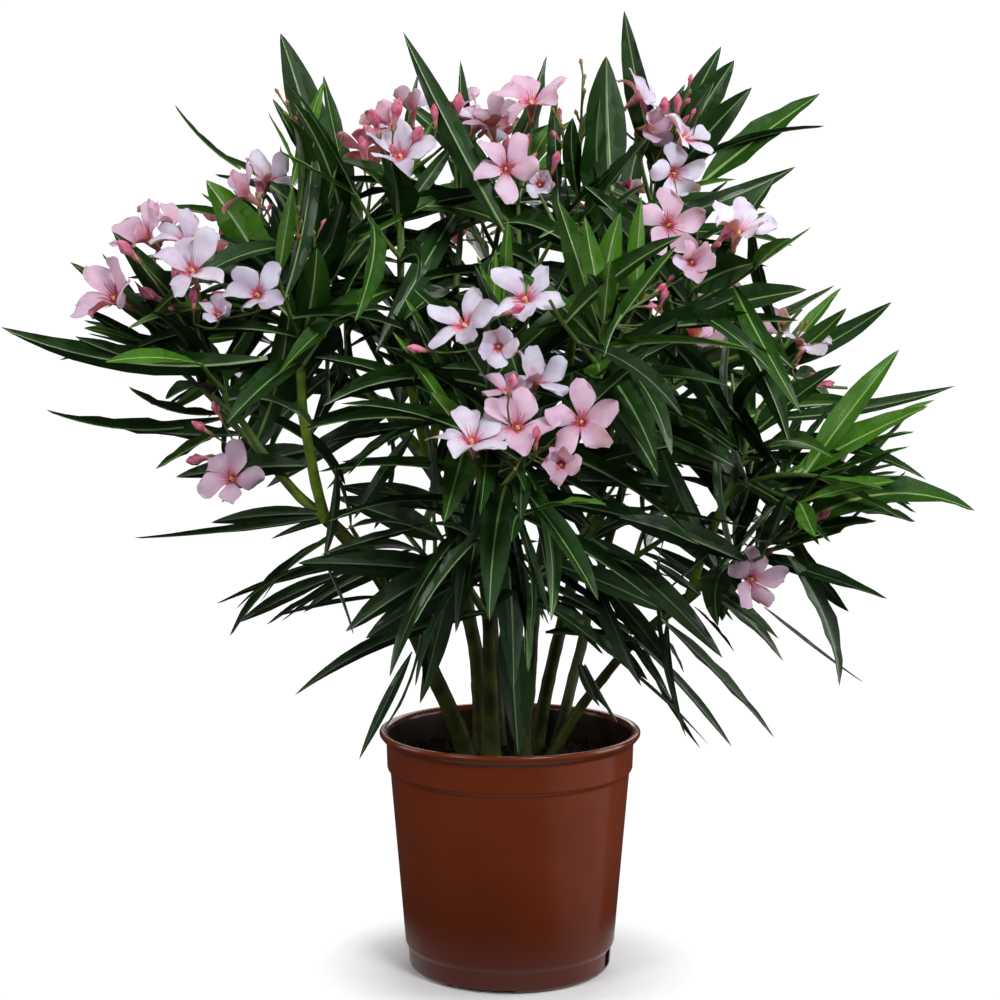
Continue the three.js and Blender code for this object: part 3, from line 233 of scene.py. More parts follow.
# %% Shoots of the crown
# A lead is (x, y, z, bend, roll, width), and perhaps where it roots: a share of its shoot, or a place.
# A bloom is (x, y, z, turn right, tilt up, size).
SHOOTS = {
    "west_low": dict(on="bough_west_out", tip=(-224, -60, 476), bare=0.35, turn=0.4, leads=[
        (-366, -75, 494, -0.6, 0.9, 23, (-176, -62, 471)), (-310, -90, 488, -0.3, 0.9, 20),
        (-321, -45, 540, 0.2, -0.6, 26), (-281, -95, 562, 0.25, 1.1, 22)], blooms=[
        (-284, -85, 516, -50, -5, 1.25), (-262, -74, 560, -45, 5, 1.2), (-246, -50, 568, 40, 25, 1.05),
        (-233, -80, 558, -20, 20, 1), (-223, -115, 537, 0, 22, 1.2), (-204, -120, 506, 0, -5, 0.75),
        (-180, -100, 519, -15, 10, 1)]),
    "west_out": dict(on="bough_west_out", tip=(-226, 14, 430), bare=0.2,
        size=1.02, turn=1.3, cyme=0.4, leads=[
        (-279, -50, 450, -0.75, 0.7, 20), (-348, -10, 430, -0.7, 0.6, 20), (-339, 30, 422, -0.25, 0.6, 22),
        (-268, 0, 384, 0.1, 0.4, 14)], blooms=[
        (-206, -48, 383, -35, 0, 1.1)]),
    "west_up": dict(on="bough_west", tip=(-150, -54, 524), bare=0.1, size=0.86, turn=0.1, leads=[
        (-137, -92, 551, 0.3, 0.2, 26, 0.25), (-126, -100, 497, 0.3, 0.3, 30, 0)]),
    "west_mid": dict(on="bough_west", tip=(-190, 12, 544), bare=0.2, size=0.95, turn=0.9, leads=[
        (-256, 50, 659, -0.5, 0.5, 14, (-205, 40, 610)), (-224, -20, 600, 0.15, 1.2, 32)], blooms=[
        (-198, -10, 591, -60, 25, 1), (-182, 14, 604, 10, 50, 0.95)]),
    "west_top": dict(on="bough_west", tip=(-132, 34, 590), bare=0.25, turn=1.8, leads=[
        (-173, 30, 711, 0.14, 1.45, 31), (-180, 0, 651, 0.1, 0.1, 14)]),
    "mid_left": dict(on="bough_mid_left", tip=(-82, -34, 582), bare=0.15, turn=0.6, leads=[
        (-84, -92, 611, 0.3, 0.1, 31), (-70, 60, 684, -0.3, 0.3, 13)], blooms=[
        (-80, -56, 618, -5, 10, 1.1), (-88, -30, 643, -110, 40, 0.9), (-72, -12, 655, 20, 50, 0.9)]),
    "mid_high": dict(on="bough_mid_high", tip=(-36, 50, 606), bare=0.15, turn=0.2, leads=[
        (-78, -36, 706, -0.12, 0.75, 19, (-3, -64, 560)), (-38, 52, 692, 0.1, 1.2, 19)], blooms=[
        (-42, 44, 657, -20, 60, 0.95), (-22, 30, 645, 60, 40, 0.95)]),
    "back_west": dict(on="bough_back_west", tip=(-196, 132, 500), bare=0.15, turn=0.5, leads=[
        (-300, 186, 520, -0.3, 0.5, 22)], blooms=[
        (-222, 150, 556, -140, 30, 1.05), (-236, 120, 536, -100, 20, 1)]),
    "back_west_top": dict(on="bough_back_west", tip=(-112, 120, 580), bare=0.2, size=0.98, turn=1.5, leads=[
        (-152, 176, 690, -0.2, 0.6, 20)], blooms=[
        (-118, 142, 632, -170, 40, 1), (-96, 126, 645, 120, 50, 1)]),
    "centre_top": dict(on="bough_centre_top", tip=(6, 0, 584), bare=0.15, size=0.95, turn=1, blooms=[
        (15, -34, 658, -8, 20, 1.2), (-3, -56, 608, 5, 5, 1.05), (22, -50, 596, 10, 0, 0.72),
        (-14, -2, 644, -40, 30, 0.95)]),
    "centre_right": dict(on="bough_centre_right", tip=(50, -22, 590), bare=0.15, size=0.95, turn=0.7,
        leads=[
        (69, -45, 688, 0.1, -0.95, 31, (73, -40, 592))]),
    "inner_front": dict(on="bough_inner", tip=(64, -144, 500), bare=0.1, size=0.86, turn=0.35, leads=[
        (31, -160, 584, 0.12, 0.35, 19), (112, -158, 552, 0.15, 0.35, 17), (147, -176, 458, 0.45, 0.7, 20),
        (97, -190, 409, 0.5, 0.9, 24), (7, -156, 534, 0.3, 0.5, 16), (154, -166, 412, 0.4, 0.5, 21),
        (62, -160, 462, 0.3, 0.1, 21), (154, -150, 401, 0.3, 1, 19, (86, -120, 428)),
        (100, -170, 396, 0.4, 1.1, 23, (53, -140, 459))]),
    "front_low": dict(on="stem_front", tip=(8, -158, 398), bare=0.35, turn=0.9, leads=[
        (10, -158, 269, 0.5, 0.6, 24)], blooms=[
        (18, -150, 462, 40, 25, 1), (4, -185, 432, 8, 22, 1.15), (-27, -190, 424, -10, 15, 1.15),
        (47, -182, 435, 15, 8, 1.1), (33, -192, 407, 5, -8, 0.85), (-2, -152, 456, -20, 60, 0.95)]),
    "front_high": dict(on="stem_front", tip=(-14, -104, 474), bare=0.4, size=0.95, turn=0.2, blooms=[
        (-33, -150, 500, -15, 15, 1.1), (9, -156, 518, 5, 20, 1.15), (-9, -167, 485, 0, -8, 0.85)]),
    "east_low": dict(on="stem_east", tip=(204, -70, 346), bare=0.3, turn=0.5, cyme=0.5, leads=[
        (331, -100, 364, 1.15, 1.25, 29, (207, -90, 351)), (268, -60, 352, 0.3, 0.9, 22),
        (235, -110, 239, -0.75, -1.6, 17, (201, -80, 329)), (264, -134, 306, 0.12, 0.5, 16)], blooms=[
        (176, -82, 312, 0, 0, 1)]),
    "east_fan": dict(on="bough_east", tip=(220, -92, 388), bare=0.3, size=0.95, turn=0, leads=[
        (276, -94, 479, 0.1, 1, 22), (294, -112, 440, 0.15, 1.15, 24), (236, -64, 440, 0.1, 0.5, 10)]),
    "east": dict(on="bough_east", tip=(184, -36, 434), bare=0.25, turn=0.8, leads=[
        (323, -62, 451, -0.3, 0.7, 15), (293, -116, 388, 0.9, 0.7, 17), (241, -56, 466, 0.2, 1, 21)]),
    "east_back": dict(on="stem_east", tip=(214, 60, 360), bare=0.3, turn=1.1, leads=[
        (310, 100, 372, 0.2, 0.5, 22)]),
    "right_top": dict(on="bough_right_top", tip=(114, 38, 618), bare=0.2, turn=0.3, leads=[
        (86, 34, 728, 0.12, 0.7, 21), (160, 40, 702, 0.15, 0.9, 21), (180, 6, 669, 0.2, 1.2, 25),
        (232, 14, 665, 0.12, 1.1, 25, (143, 14, 598)), (219, 50, 612, -0.3, 0.7, 15),
        (168, 20, 690, 0.15, 1, 22, (132, 30, 630)), (150, -10, 672, 0.2, 0.9, 18, (124, 10, 600))],
        blooms=[
        (98, 14, 664, 45, 15, 1), (106, 4, 640, 40, -10, 0.9), (130, -12, 633, 40, 5, 1),
        (122, -22, 604, 40, -20, 1)]),
    "right_high": dict(on="bough_right_high", tip=(132, -76, 528), bare=0.1, size=0.92, turn=0.9, leads=[
        (168, -128, 540, 0.3, 0.9, 27), (210, -92, 521, 0.15, 0.9, 24), (221, -30, 566, -0.2, 0.4, 14)],
        blooms=[
        (112, -98, 567, -5, 5, 1.05), (160, -106, 564, 12, 20, 1.15), (127, -118, 541, 5, -8, 0.9)]),
    "right_mid": dict(on="bough_right_mid", tip=(208, 12, 464), bare=0.1, size=0.95, turn=0.2, leads=[
        (254, 40, 520, 0.1, 0.6, 14), (250, -16, 506, -0.3, 0.6, 17), (287, 6, 510, -0.3, 0.7, 17)],
        blooms=[
        (220, -6, 480, 50, 40, 0.95), (204, 16, 492, -20, 20, 0.8)]),
    "right_back": dict(on="stem_right", tip=(146, 86, 466), bare=0.3, size=0.98, turn=1.4, leads=[
        (262, 130, 520, -0.2, 0.5, 20)], blooms=[
        (146, 62, 482, 20, 35, 1.1), (176, 106, 502, 120, 30, 1)]),
    "north": dict(on="bough_north", tip=(-18, 190, 540), bare=0.1, turn=0.6, leads=[
        (-40, 300, 580, -0.2, 0.6, 20)], blooms=[
        (-24, 214, 590, 170, 30, 1.1), (-44, 206, 572, -160, 10, 1)]),
    "north_top": dict(on="bough_north", tip=(-2, 118, 596), bare=0.2, size=0.95, turn=1.2, leads=[
        (30, 150, 704, 0.1, 0.6, 22)], blooms=[
        (-8, 132, 646, 170, 45, 1)]),
    "north_low": dict(on="stem_north", tip=(-92, 202, 420), bare=0.2, turn=0.2, leads=[
        (-170, 268, 400, 0.4, 0.6, 20)]),
    "far": dict(on="stem_far", tip=(136, 196, 446), bare=0.25, turn=0.8, leads=[
        (212, 268, 470, -0.2, 0.5, 21)], blooms=[
        (150, 218, 496, 160, 25, 1.1), (182, 200, 484, 120, 10, 1)]),
    "far_top": dict(on="stem_far", tip=(76, 132, 548), bare=0.45, size=0.98, turn=0.1, leads=[
        (110, 190, 650, 0.1, 0.6, 20)], blooms=[
        (88, 150, 600, 150, 40, 1)]),
}
print(len(SHOOTS), "shoots in the crown")

# %% [markdown]
# Low on the stems stand short side shoots with older, narrower leaves that droop over the pot's rim. They
# share most of their sizes, so each one states only what is its own.

# %% The skirt
SKIRT = {
    "skirt_west": dict(on="stem_west", start=0.62, tip=(-116, -74, 350), turn=0.3, leads=[
        (-206, -62, 267, 0.62, 0.8, 19, (-134, -32, 336)), (-220, -30, 286, 0.2, 0.5, 14),
        (-166, -84, 282, 0.2, 0.4, 11), (-157, -84, 227, 0.62, 0.7, 14, (-14, -66, 286)),
        (-93, -88, 202, 0.5, 0.5, 9, (-66, -60, 268)), (-110, -90, 181, 0.3, 0.4, 8, (-72, -70, 257)),
        (-64, -80, 226, 0.2, 1.3, 16, (-63, -66, 272)), (-279, -40, 337, -0.16, 0.8, 13, (-138, -30, 352)),
        (-223, -30, 347, 0.2, 0.8, 13, (-138, -30, 354)), (-214, -60, 292, 0.15, 0.5, 12, (-124, -38, 318)),
        (-201, -50, 275, 0.2, 0.6, 14, (-120, -38, 312)), (-174, -60, 281, 0.15, 0.4, 11, (-96, -38, 293)),
        (-250, -20, 380, 0.2, 1, 20, (-150, -32, 390)), (-232, 0, 372, 0.3, 1.1, 22, (-148, -10, 400))]),
    "skirt_west_back": dict(on="stem_middle", start=0.5, tip=(-100, 66, 350), turn=1, leads=[
        (-190, 40, 258, 0.3, 0.5, 16), (-170, 150, 250, 0.4, 0.5, 18),
        (-138, -30, 407, 0.2, 0.9, 11, (-55, -20, 420)), (-115, -50, 352, 0.2, 0.8, 10, (-71, -40, 417))]),
    "skirt_front": dict(on="stem_front", start=0.62, tip=(-56, -100, 356), turn=0.15, leads=[
        (-116, -136, 283, 0.2, 0.9, 25), (-150, -124, 330, 0.15, 0.8, 22),
        (6, -90, 184, 0.15, 0.1, 27, (-2, -84, 290)), (-66, -84, 221, 0.3, 0.3, 17),
        (80, -96, 254, 0.2, 1.05, 24, (-8, -66, 312)), (96, -90, 272, 0.15, 0.9, 18, (2, -60, 330)),
        (-104, -100, 272, 0.2, 1, 24, (-16, -64, 316)), (68, -70, 255, 0.25, 1, 19, (16, -60, 296)),
        (95, -70, 264, 0.2, 1, 16, (26, -50, 268)), (115, -100, 290, 0.2, 1.1, 20, (24, -70, 324)),
        (115, -90, 315, 0.15, 0.9, 15, (30, -70, 341)), (-130, -10, 372, 0.15, 1.1, 17, (-46, -30, 361)),
        (-133, -4, 363, 0.15, 1.2, 24, (-50, -30, 335))]),
    "skirt_centre": dict(on="stem_centre", start=0.66, tip=(82, -78, 366), turn=0.6, leads=[
        (150, -124, 262, 0.35, 0.7, 19), (92, -136, 244, 0.3, 0.6, 20),
        (79, -62, 202, 0.5, 0.9, 15, (56, -20, 238)), (66, -60, 214, 0.3, 0.4, 10, (52, -22, 240)),
        (96, -40, 250, 0.3, 0.6, 14, (48, -10, 290)), (104, -20, 226, 0.5, 0.6, 12, (62, 0, 262)),
        (118, -66, 244, 0.3, 0.8, 16, (70, -30, 300))]),
    "skirt_east": dict(on="stem_east", start=0.7, tip=(138, -68, 300), bare=0.1,
        size=0.9, slim=0.42, turn=0.9, leads=[
        (264, -40, 228, -0.15, 0.9, 7, (189, -40, 285)), (194, -72, 193, 0.16, 0.9, 13, (111, -50, 278)),
        (165, -48, 181, 0.26, 0.9, 12, (89, -40, 264)), (147, -60, 185, 0.2, 0.5, 4, (77, -30, 246)),
        (119, -60, 218, 0.3, 0.5, 7, (87, -40, 264)), (128, -60, 239, 0.4, 0.6, 7, (103, -50, 276)),
        (165, -60, 255, 0.2, 0.5, 7, (136, -56, 288)), (195, -80, 268, 0.2, 0.9, 11, (147, -60, 303))]),
    "skirt_far": dict(on="stem_far", start=0.62, tip=(144, 96, 332), turn=0.4, leads=[
        (224, 120, 214, 0.5, 0.6, 18), (190, 190, 236, 0.4, 0.5, 18)]),
    "skirt_north": dict(on="stem_north", start=0.6, tip=(-44, 156, 346), turn=0.7, leads=[
        (-60, 236, 240, 0.5, 0.6, 19), (30, 230, 230, 0.5, 0.5, 18)]),
}
SKIRT_HABIT = {"bare": 0.12, "old": True, "slim": 0.62, "open": 1.9, "twigs": 1}
for skirt_name, skirt_plan in SKIRT.items():
    SHOOTS[skirt_name] = {**SKIRT_HABIT, **skirt_plan}
LEAD_KINDS = {  # (shoot, number of the lead): kind
    ("east_low", 0): "green", ("east_low", 1): "green", ("east_fan", 0): "fresh", ("east_fan", 1): "fresh",
    ("inner_front", 6): "fresh", ("west_mid", 1): "fresh", ("west_top", 1): "fresh",
    ("right_mid", 0): "fresh",
}
LIVELY = ("inner_front", "east_fan", "west_mid")  # shoots whose young leaves are bright
print(len(SHOOTS), "shoots with the skirt")


# %% Small tools for directions and repeatable chance
def noise(seed, i):
    """A repeatable number from 0 to 1 for each pair of numbers."""
    s = math.sin(seed * 12.9898 + i * 78.233) * 43758.5453
    return s - math.floor(s)


def swing(seed, i, amount):
    """A repeatable number from -amount to amount."""
    return (noise(seed, i) - 0.5) * 2 * amount


def mix(a, b, t):
    """The value at share t of the way from a to b."""
    return a + (b - a) * t


def unit(v):
    """v at unit length."""
    return v / np.linalg.norm(v)


def across(v, axis):
    """v with its part along the unit vector axis taken out, at unit length."""
    flat = np.asarray(v, float) - axis * np.dot(v, axis)
    return unit(flat) if flat @ flat > 1e-6 else across((0.31, -0.9, 0.17), axis)


def frame_round(along, easterly=(1, 0.2, 0)):
    """Two directions across a stem, at right angles to each other."""
    east = across(easterly, along)
    return east, np.cross(along, east)


print("chance for 1 and 2:", round(noise(1, 2), 3))


# %% A bent line
class Bend:
    """A curve from start to end, pulled by a knee: a quadratic Bezier."""

    def __init__(self, start, knee, end):
        self.ends = [np.array(p, float) for p in (start, knee, end)]

    def point(self, u):
        a, b, c = self.ends
        return a * (1 - u) ** 2 + b * 2 * u * (1 - u) + c * u * u

    def along(self, u):
        a, b, c = self.ends
        return unit((b - a) * (1 - u) + (c - b) * u)

    def length(self):
        dots = np.array([self.point(u) for u in np.linspace(0, 1, 101)])
        return np.linalg.norm(np.diff(dots, axis=0), axis=1).sum()


print("half way along a bend:", Bend((0, 0, 0), (0, 0, 50), (0, 50, 50)).point(0.5))


# %% Curves of the limbs and shoots
STUB = 13  # mm of a limb or shoot that belong to the limb it grows from
SIDE_STUB = 9  # mm from a stem's skin to the first leaf of a shoot on its side
STEM_FLARE = 0.34  # share by which a stem is wider at its foot
KNEE_AT = 0.45  # share of the way to its tip at which a shoot's knee pulls

limbs = {}
for name, (foot, knee, end, radii) in STEMS.items():
    limbs[name] = {"curve": Bend((*foot, SOIL_TOP), knee, end), "radii": radii, "flare": STEM_FLARE}
for name, (on, knee, end, radii) in BOUGHS.items():
    limbs[name] = {"curve": Bend(limbs[on]["curve"].point(1), knee, end), "radii": radii, "flare": 0}

shoots = []
for index, (name, plan) in enumerate(SHOOTS.items()):
    parent = limbs[plan["on"]]
    on_side = "start" in plan
    start = parent["curve"].point(plan.get("start", 1))
    tip = np.array(plan["tip"], float)
    lead = unit(tip - start)
    if not on_side:
        lead = unit(lead + parent["curve"].along(1))
    curve = Bend(start, start + lead * np.linalg.norm(tip - start) * KNEE_AT, tip)
    stub = parent["radii"][0] + SIDE_STUB if on_side else STUB
    shoots.append({
        "name": name, "plan": plan, "curve": curve, "seed": index + 1, "taken": stub / curve.length()})
print(len(shoots), "shoots on", len(limbs), "limbs")

# %% [markdown]
# ## Finishes
# Oleander leaves are leathery and dark green with a waxy gloss, a pale midrib and many fine side veins.
# Petals are silky, pale pink, and rose at the throat. Bark is olive green and smooth, with corky flecks.
# The pot is red-brown plastic with a soft gloss. Each finish is a Principled surface. Clouded colour and
# fine relief are needed in all of them, so both are node groups that each finish uses with its own values.


# %% Shared group: clouded colour
COLOUR, NUMBER, VECTOR = "NodeSocketColor", "NodeSocketFloat", "NodeSocketVector"
GEOMETRY, FINISH, SHELF = "NodeSocketGeometry", "NodeSocketMaterial", "NodeSocketCollection"


def new_group(name, sockets, kind="ShaderNodeTree"):
    """A node group with its inputs and outputs made from (name, in or out, type)."""
    group = bpy.data.node_groups.new(name, kind)
    for label, way, socket_type in sockets:
        in_out = "INPUT" if way == "in" else "OUTPUT"
        group.interface.new_socket(label, in_out=in_out, socket_type=socket_type)
    return group, add_node(group, "NodeGroupInput").outputs, add_node(group, "NodeGroupOutput").inputs


def mixed(tree, share, first, second):
    """A colour between two. A Mix node's colours are its inputs 6 and 7 and its third output."""
    return add_node(tree, "ShaderNodeMix", {0: share, 6: first, 7: second}, data_type="RGBA").outputs[2]


clouding, given, wanted = new_group("clouded colour", [
    ("Place", "in", VECTOR), ("Patches per metre", "in", NUMBER), ("Dark", "in", COLOUR),
    ("Pale", "in", COLOUR), ("Colour", "out", COLOUR), ("Cloud", "out", NUMBER)])
cloud = add_node(clouding, "ShaderNodeTexNoise", {
    "Vector": given["Place"], "Scale": given["Patches per metre"], "Detail": 3.0, "Roughness": 0.6})
share = range_of(clouding, cloud.outputs[0], (0.3, 0.7), (0, 1), interpolation_type="SMOOTHSTEP")
clouding.links.new(mixed(clouding, share, given["Dark"], given["Pale"]), wanted["Colour"])
clouding.links.new(share, wanted["Cloud"])
print(clouding.name, len(clouding.nodes))

# %% Shared group: fine relief
graining, given, wanted = new_group("fine relief", [
    ("Place", "in", VECTOR), ("Grains per metre", "in", NUMBER), ("Height", "in", NUMBER),
    ("Stretch", "in", VECTOR), ("Relief", "out", VECTOR)])
stretched = vector_of(graining, "MULTIPLY", given["Place"], given["Stretch"])
grain = add_node(graining, "ShaderNodeTexNoise", {
    "Vector": stretched, "Scale": given["Grains per metre"], "Detail": 4.0, "Roughness": 0.65})
grain_height = math_of(graining, "MULTIPLY", grain.outputs[0], given["Height"])
raised = add_node(graining, "ShaderNodeBump", {"Height": grain_height, "Distance": 1.0, "Strength": 1.0})
graining.links.new(raised.outputs[0], wanted["Relief"])
print(graining.name, len(graining.nodes))

# %% [markdown]
# Two more patterns follow the piece's own map instead of its place. Side veins leave a leaf's rib in
# slanting pairs, as a wave that runs along the leaf and lags behind away from the rib. Rose streaks run out
# from the throat of a petal, and each reaches further along its middle than between two streaks.

# %% Shared group: side veins
veining, given, wanted = new_group("side veins", [
    ("Leaf map", "in", VECTOR), ("Pairs", "in", NUMBER), ("Slant", "in", NUMBER), ("Vein", "out", NUMBER)])
on_leaf = parts_of(veining, given["Leaf map"])
from_rib = math_of(veining, "ABSOLUTE", math_of(veining, "SUBTRACT", on_leaf["X"], 0.5))
pairs = math_of(veining, "MULTIPLY", on_leaf["Y"], given["Pairs"])
lag = math_of(veining, "MULTIPLY", from_rib, given["Slant"])
phase = math_of(veining, "SUBTRACT", pairs, lag)
wave = math_of(veining, "SINE", math_of(veining, "MULTIPLY", phase, math.pi * 2))
line = math_of(veining, "POWER", math_of(veining, "ABSOLUTE", wave), 3.0)
near_rib = range_of(veining, from_rib, (0.05, 0.5), (1.0, 0.35))
veining.links.new(math_of(veining, "MULTIPLY", line, near_rib), wanted["Vein"])
print(veining.name, len(veining.nodes))

# %% Shared group: rose streaks
blushing, given, wanted = new_group("rose streaks", [
    ("Petal map", "in", VECTOR), ("Streaks", "in", NUMBER), ("Reach", "in", NUMBER), ("Rose", "out", NUMBER)])
on_petal = parts_of(blushing, given["Petal map"])
half_turns = math_of(blushing, "MULTIPLY", on_petal["X"], given["Streaks"])
wave = math_of(blushing, "SINE", math_of(blushing, "MULTIPLY", half_turns, math.pi))
streak = math_of(blushing, "POWER", math_of(blushing, "ABSOLUTE", wave), 5.0)
between = math_of(blushing, "MULTIPLY", given["Reach"], 0.33)
edge = math_of(blushing, "ADD", between, math_of(blushing, "MULTIPLY", streak, given["Reach"]))
rosy = range_of(blushing, on_petal["Y"], (0.0, edge), (1.0, 0.0), interpolation_type="SMOOTHSTEP")
deep = range_of(blushing, streak, (0.0, 1.0), (0.38, 1.0))
blushing.links.new(math_of(blushing, "MULTIPLY", rosy, deep), wanted["Rose"])
print(blushing.name, len(blushing.nodes))


# %% A finish with cloud and grain
ROUGHNESS_SPREAD = 0.06  # pale patches are this much smoother than the finish, and dark ones rougher


def blend_in(finish, share, colour):
    """Mixes one more colour into a finish by a share that changes over the surface."""
    tree = finish.node_tree
    painted = mixed(tree, share, tree.nodes["Group"].outputs["Colour"], (*colour, 1))
    tree.links.new(painted, tree.nodes["Principled BSDF"].inputs["Base Color"])


def new_finish(name, dark, pale, roughness, patches=60, grains=900, height=0.0001, stretch=(1, 1, 1), **more):
    """A Principled surface whose colour clouds between two colours, with a fine grain."""
    finish = bpy.data.materials.new(name)
    finish.use_nodes = True
    tree = finish.node_tree
    surface = tree.nodes["Principled BSDF"]
    place = add_node(tree, "ShaderNodeTexCoord").outputs["Object"]
    tint = add_node(tree, "ShaderNodeGroup", {
        "Place": place, "Patches per metre": patches, "Dark": (*dark, 1), "Pale": (*pale, 1)},
        node_tree=clouding).outputs
    tree.links.new(tint["Colour"], surface.inputs["Base Color"])
    relief = add_node(tree, "ShaderNodeGroup", {
        "Place": place, "Grains per metre": grains, "Height": height, "Stretch": stretch}, node_tree=graining)
    tree.links.new(relief.outputs["Relief"], surface.inputs["Normal"])
    rough_range = (roughness + ROUGHNESS_SPREAD, roughness - ROUGHNESS_SPREAD)
    tree.links.new(range_of(tree, tint["Cloud"], (0, 1), rough_range), surface.inputs["Roughness"])
    for socket, value in more.items():
        surface.inputs[socket.replace("_", " ")].default_value = value
    return finish


print("finishes vary in roughness by", ROUGHNESS_SPREAD)


# %% Leaf finishes
VEINS = 24  # pairs of side veins in a leaf
VEIN_SLANT = 3
VEIN_BUMP = 0.08
LEAF_SHEEN = (0.34, 0.34)  # roughness and specular level of the top
OLD_SHEEN = (0.38, 0.3)
LEAF_TINTS = {  # kind: (dark, pale, rib, underside dark, underside pale)
    "old": ((0.003, 0.012, 0.0025), (0.008, 0.027, 0.0048), (0.085, 0.135, 0.055),
            (0.007, 0.022, 0.006), (0.014, 0.038, 0.011)),
    "mature": ((0.0039, 0.020, 0.0016), (0.0092, 0.039, 0.0033), (0.18, 0.29, 0.11),
               (0.0065, 0.027, 0.004), (0.013, 0.047, 0.008)),
    "green": ((0.0095, 0.044, 0.0023), (0.022, 0.077, 0.0043), (0.26, 0.41, 0.14),
              (0.015, 0.058, 0.006), (0.030, 0.092, 0.012)),
    "fresh": ((0.032, 0.115, 0.005), (0.06, 0.18, 0.010), (0.33, 0.49, 0.17),
              (0.05, 0.15, 0.016), (0.08, 0.20, 0.028)),
}


def times(colour, share):
    """A colour made paler or darker."""
    return tuple(channel * share for channel in colour)


def add_side_veins(finish, vein_colour, strength):
    """Fine slanting veins on the leaf's own map: paler lines that stand slightly proud."""
    tree = finish.node_tree
    normal = tree.nodes["Principled BSDF"].inputs["Normal"]
    leaf_map = add_node(tree, "ShaderNodeTexCoord").outputs["UV"]
    vein = add_node(tree, "ShaderNodeGroup", {
        "Leaf map": leaf_map, "Pairs": VEINS, "Slant": VEIN_SLANT}, node_tree=veining).outputs["Vein"]
    blend_in(finish, math_of(tree, "MULTIPLY", vein, strength), vein_colour)
    proud = add_node(tree, "ShaderNodeBump", {
        "Height": vein, "Distance": 0.0002, "Strength": VEIN_BUMP, "Normal": normal.links[0].from_socket})
    tree.links.new(proud.outputs[0], normal)


leaf_finishes = {}
for kind, (dark, pale, rib, under_dark, under_pale) in LEAF_TINTS.items():
    roughness, gloss = OLD_SHEEN if kind == "old" else LEAF_SHEEN
    blade = new_finish(f"{kind} leaf blade", dark, pale, roughness, patches=45, grains=500, height=0.000006,
                       Specular_IOR_Level=gloss)
    add_side_veins(blade, times(pale, 1.9), 0.5)
    midrib = new_finish(f"{kind} midrib", times(rib, 0.8), rib, 0.45, patches=90, height=0.00001)
    under = new_finish(f"{kind} leaf underside", under_dark, under_pale, 0.6, grains=500, height=0.000008,
                       Specular_IOR_Level=0.25)
    add_side_veins(under, times(under_pale, 1.3), 0.4)
    leaf_finishes[kind] = [blade, midrib, under]
print("leaf finishes for", ", ".join(leaf_finishes))

# %% [markdown]
# The bark's furrows run along the limb, so its grain is stretched upwards, and it hardly shines. Petals are
# thin enough to let light through, and a little subsurface scattering gives that. Their backs are rosier
# than their faces, and the small parts of a flower each have a plain clouded finish of their own.

# %% Bark finishes
bark_old = new_finish("olive bark", (0.012, 0.015, 0.002), (0.042, 0.048, 0.005), 0.5, grains=700,
                      height=0.0003, stretch=(1, 1, 0.35), Specular_IOR_Level=0.15)
bark_green = new_finish("green bark", (0.045, 0.095, 0.004), (0.12, 0.20, 0.009), 0.5, patches=80,
                        height=0.0002, stretch=(1, 1, 0.4), Specular_IOR_Level=0.25)
bark_twig = new_finish("twig bark", (0.05, 0.10, 0.013), (0.10, 0.17, 0.03), 0.5, patches=90)
stalk_finish = new_finish("flower stalk", (0.06, 0.11, 0.016), (0.13, 0.14, 0.03), 0.5, patches=150,
                          grains=1200)
print("bark finishes:", bark_old.name, bark_green.name, bark_twig.name, stalk_finish.name)

# %% Petal finishes
PETAL_TINTS = {  # kind: (face dark, face pale, back dark, back pale)
    "lilac": ((0.58, 0.44, 0.56), (0.70, 0.59, 0.69), (0.56, 0.37, 0.49), (0.65, 0.49, 0.59)),
    "pink": ((0.60, 0.34, 0.46), (0.69, 0.45, 0.57), (0.61, 0.25, 0.37), (0.67, 0.37, 0.49)),
}
SILKY = dict(grains=1400, Specular_IOR_Level=0.3, Subsurface_Weight=0.35, Subsurface_Scale=0.004)
STREAKS = 7.0  # rose lines that run out from the throat on each petal
ROSE = {"face": ((0.62, 0.10, 0.23), 0.42), "back": ((0.62, 0.13, 0.23), 0.5)}  # colour and reach


def add_streaks(finish, side):
    """Rose at the petal's base, with rose lines that run out on its own map."""
    tree = finish.node_tree
    rose, reach = ROSE[side]
    petal_map = add_node(tree, "ShaderNodeTexCoord").outputs["UV"]
    blush = add_node(tree, "ShaderNodeGroup", {
        "Petal map": petal_map, "Streaks": STREAKS, "Reach": reach}, node_tree=blushing).outputs["Rose"]
    blend_in(finish, blush, rose)


petal_finishes = {}
for kind, (dark, pale, back_dark, back_pale) in PETAL_TINTS.items():
    petal_face = new_finish(f"{kind} petal face", dark, pale, 0.55, height=0.00008, **SILKY)
    petal_back = new_finish(f"{kind} petal back", back_dark, back_pale, 0.6, **SILKY)
    add_streaks(petal_face, "face")
    add_streaks(petal_back, "back")
    petal_finishes[kind] = [petal_face, petal_back]
print("petals:", ", ".join(petal_finishes))

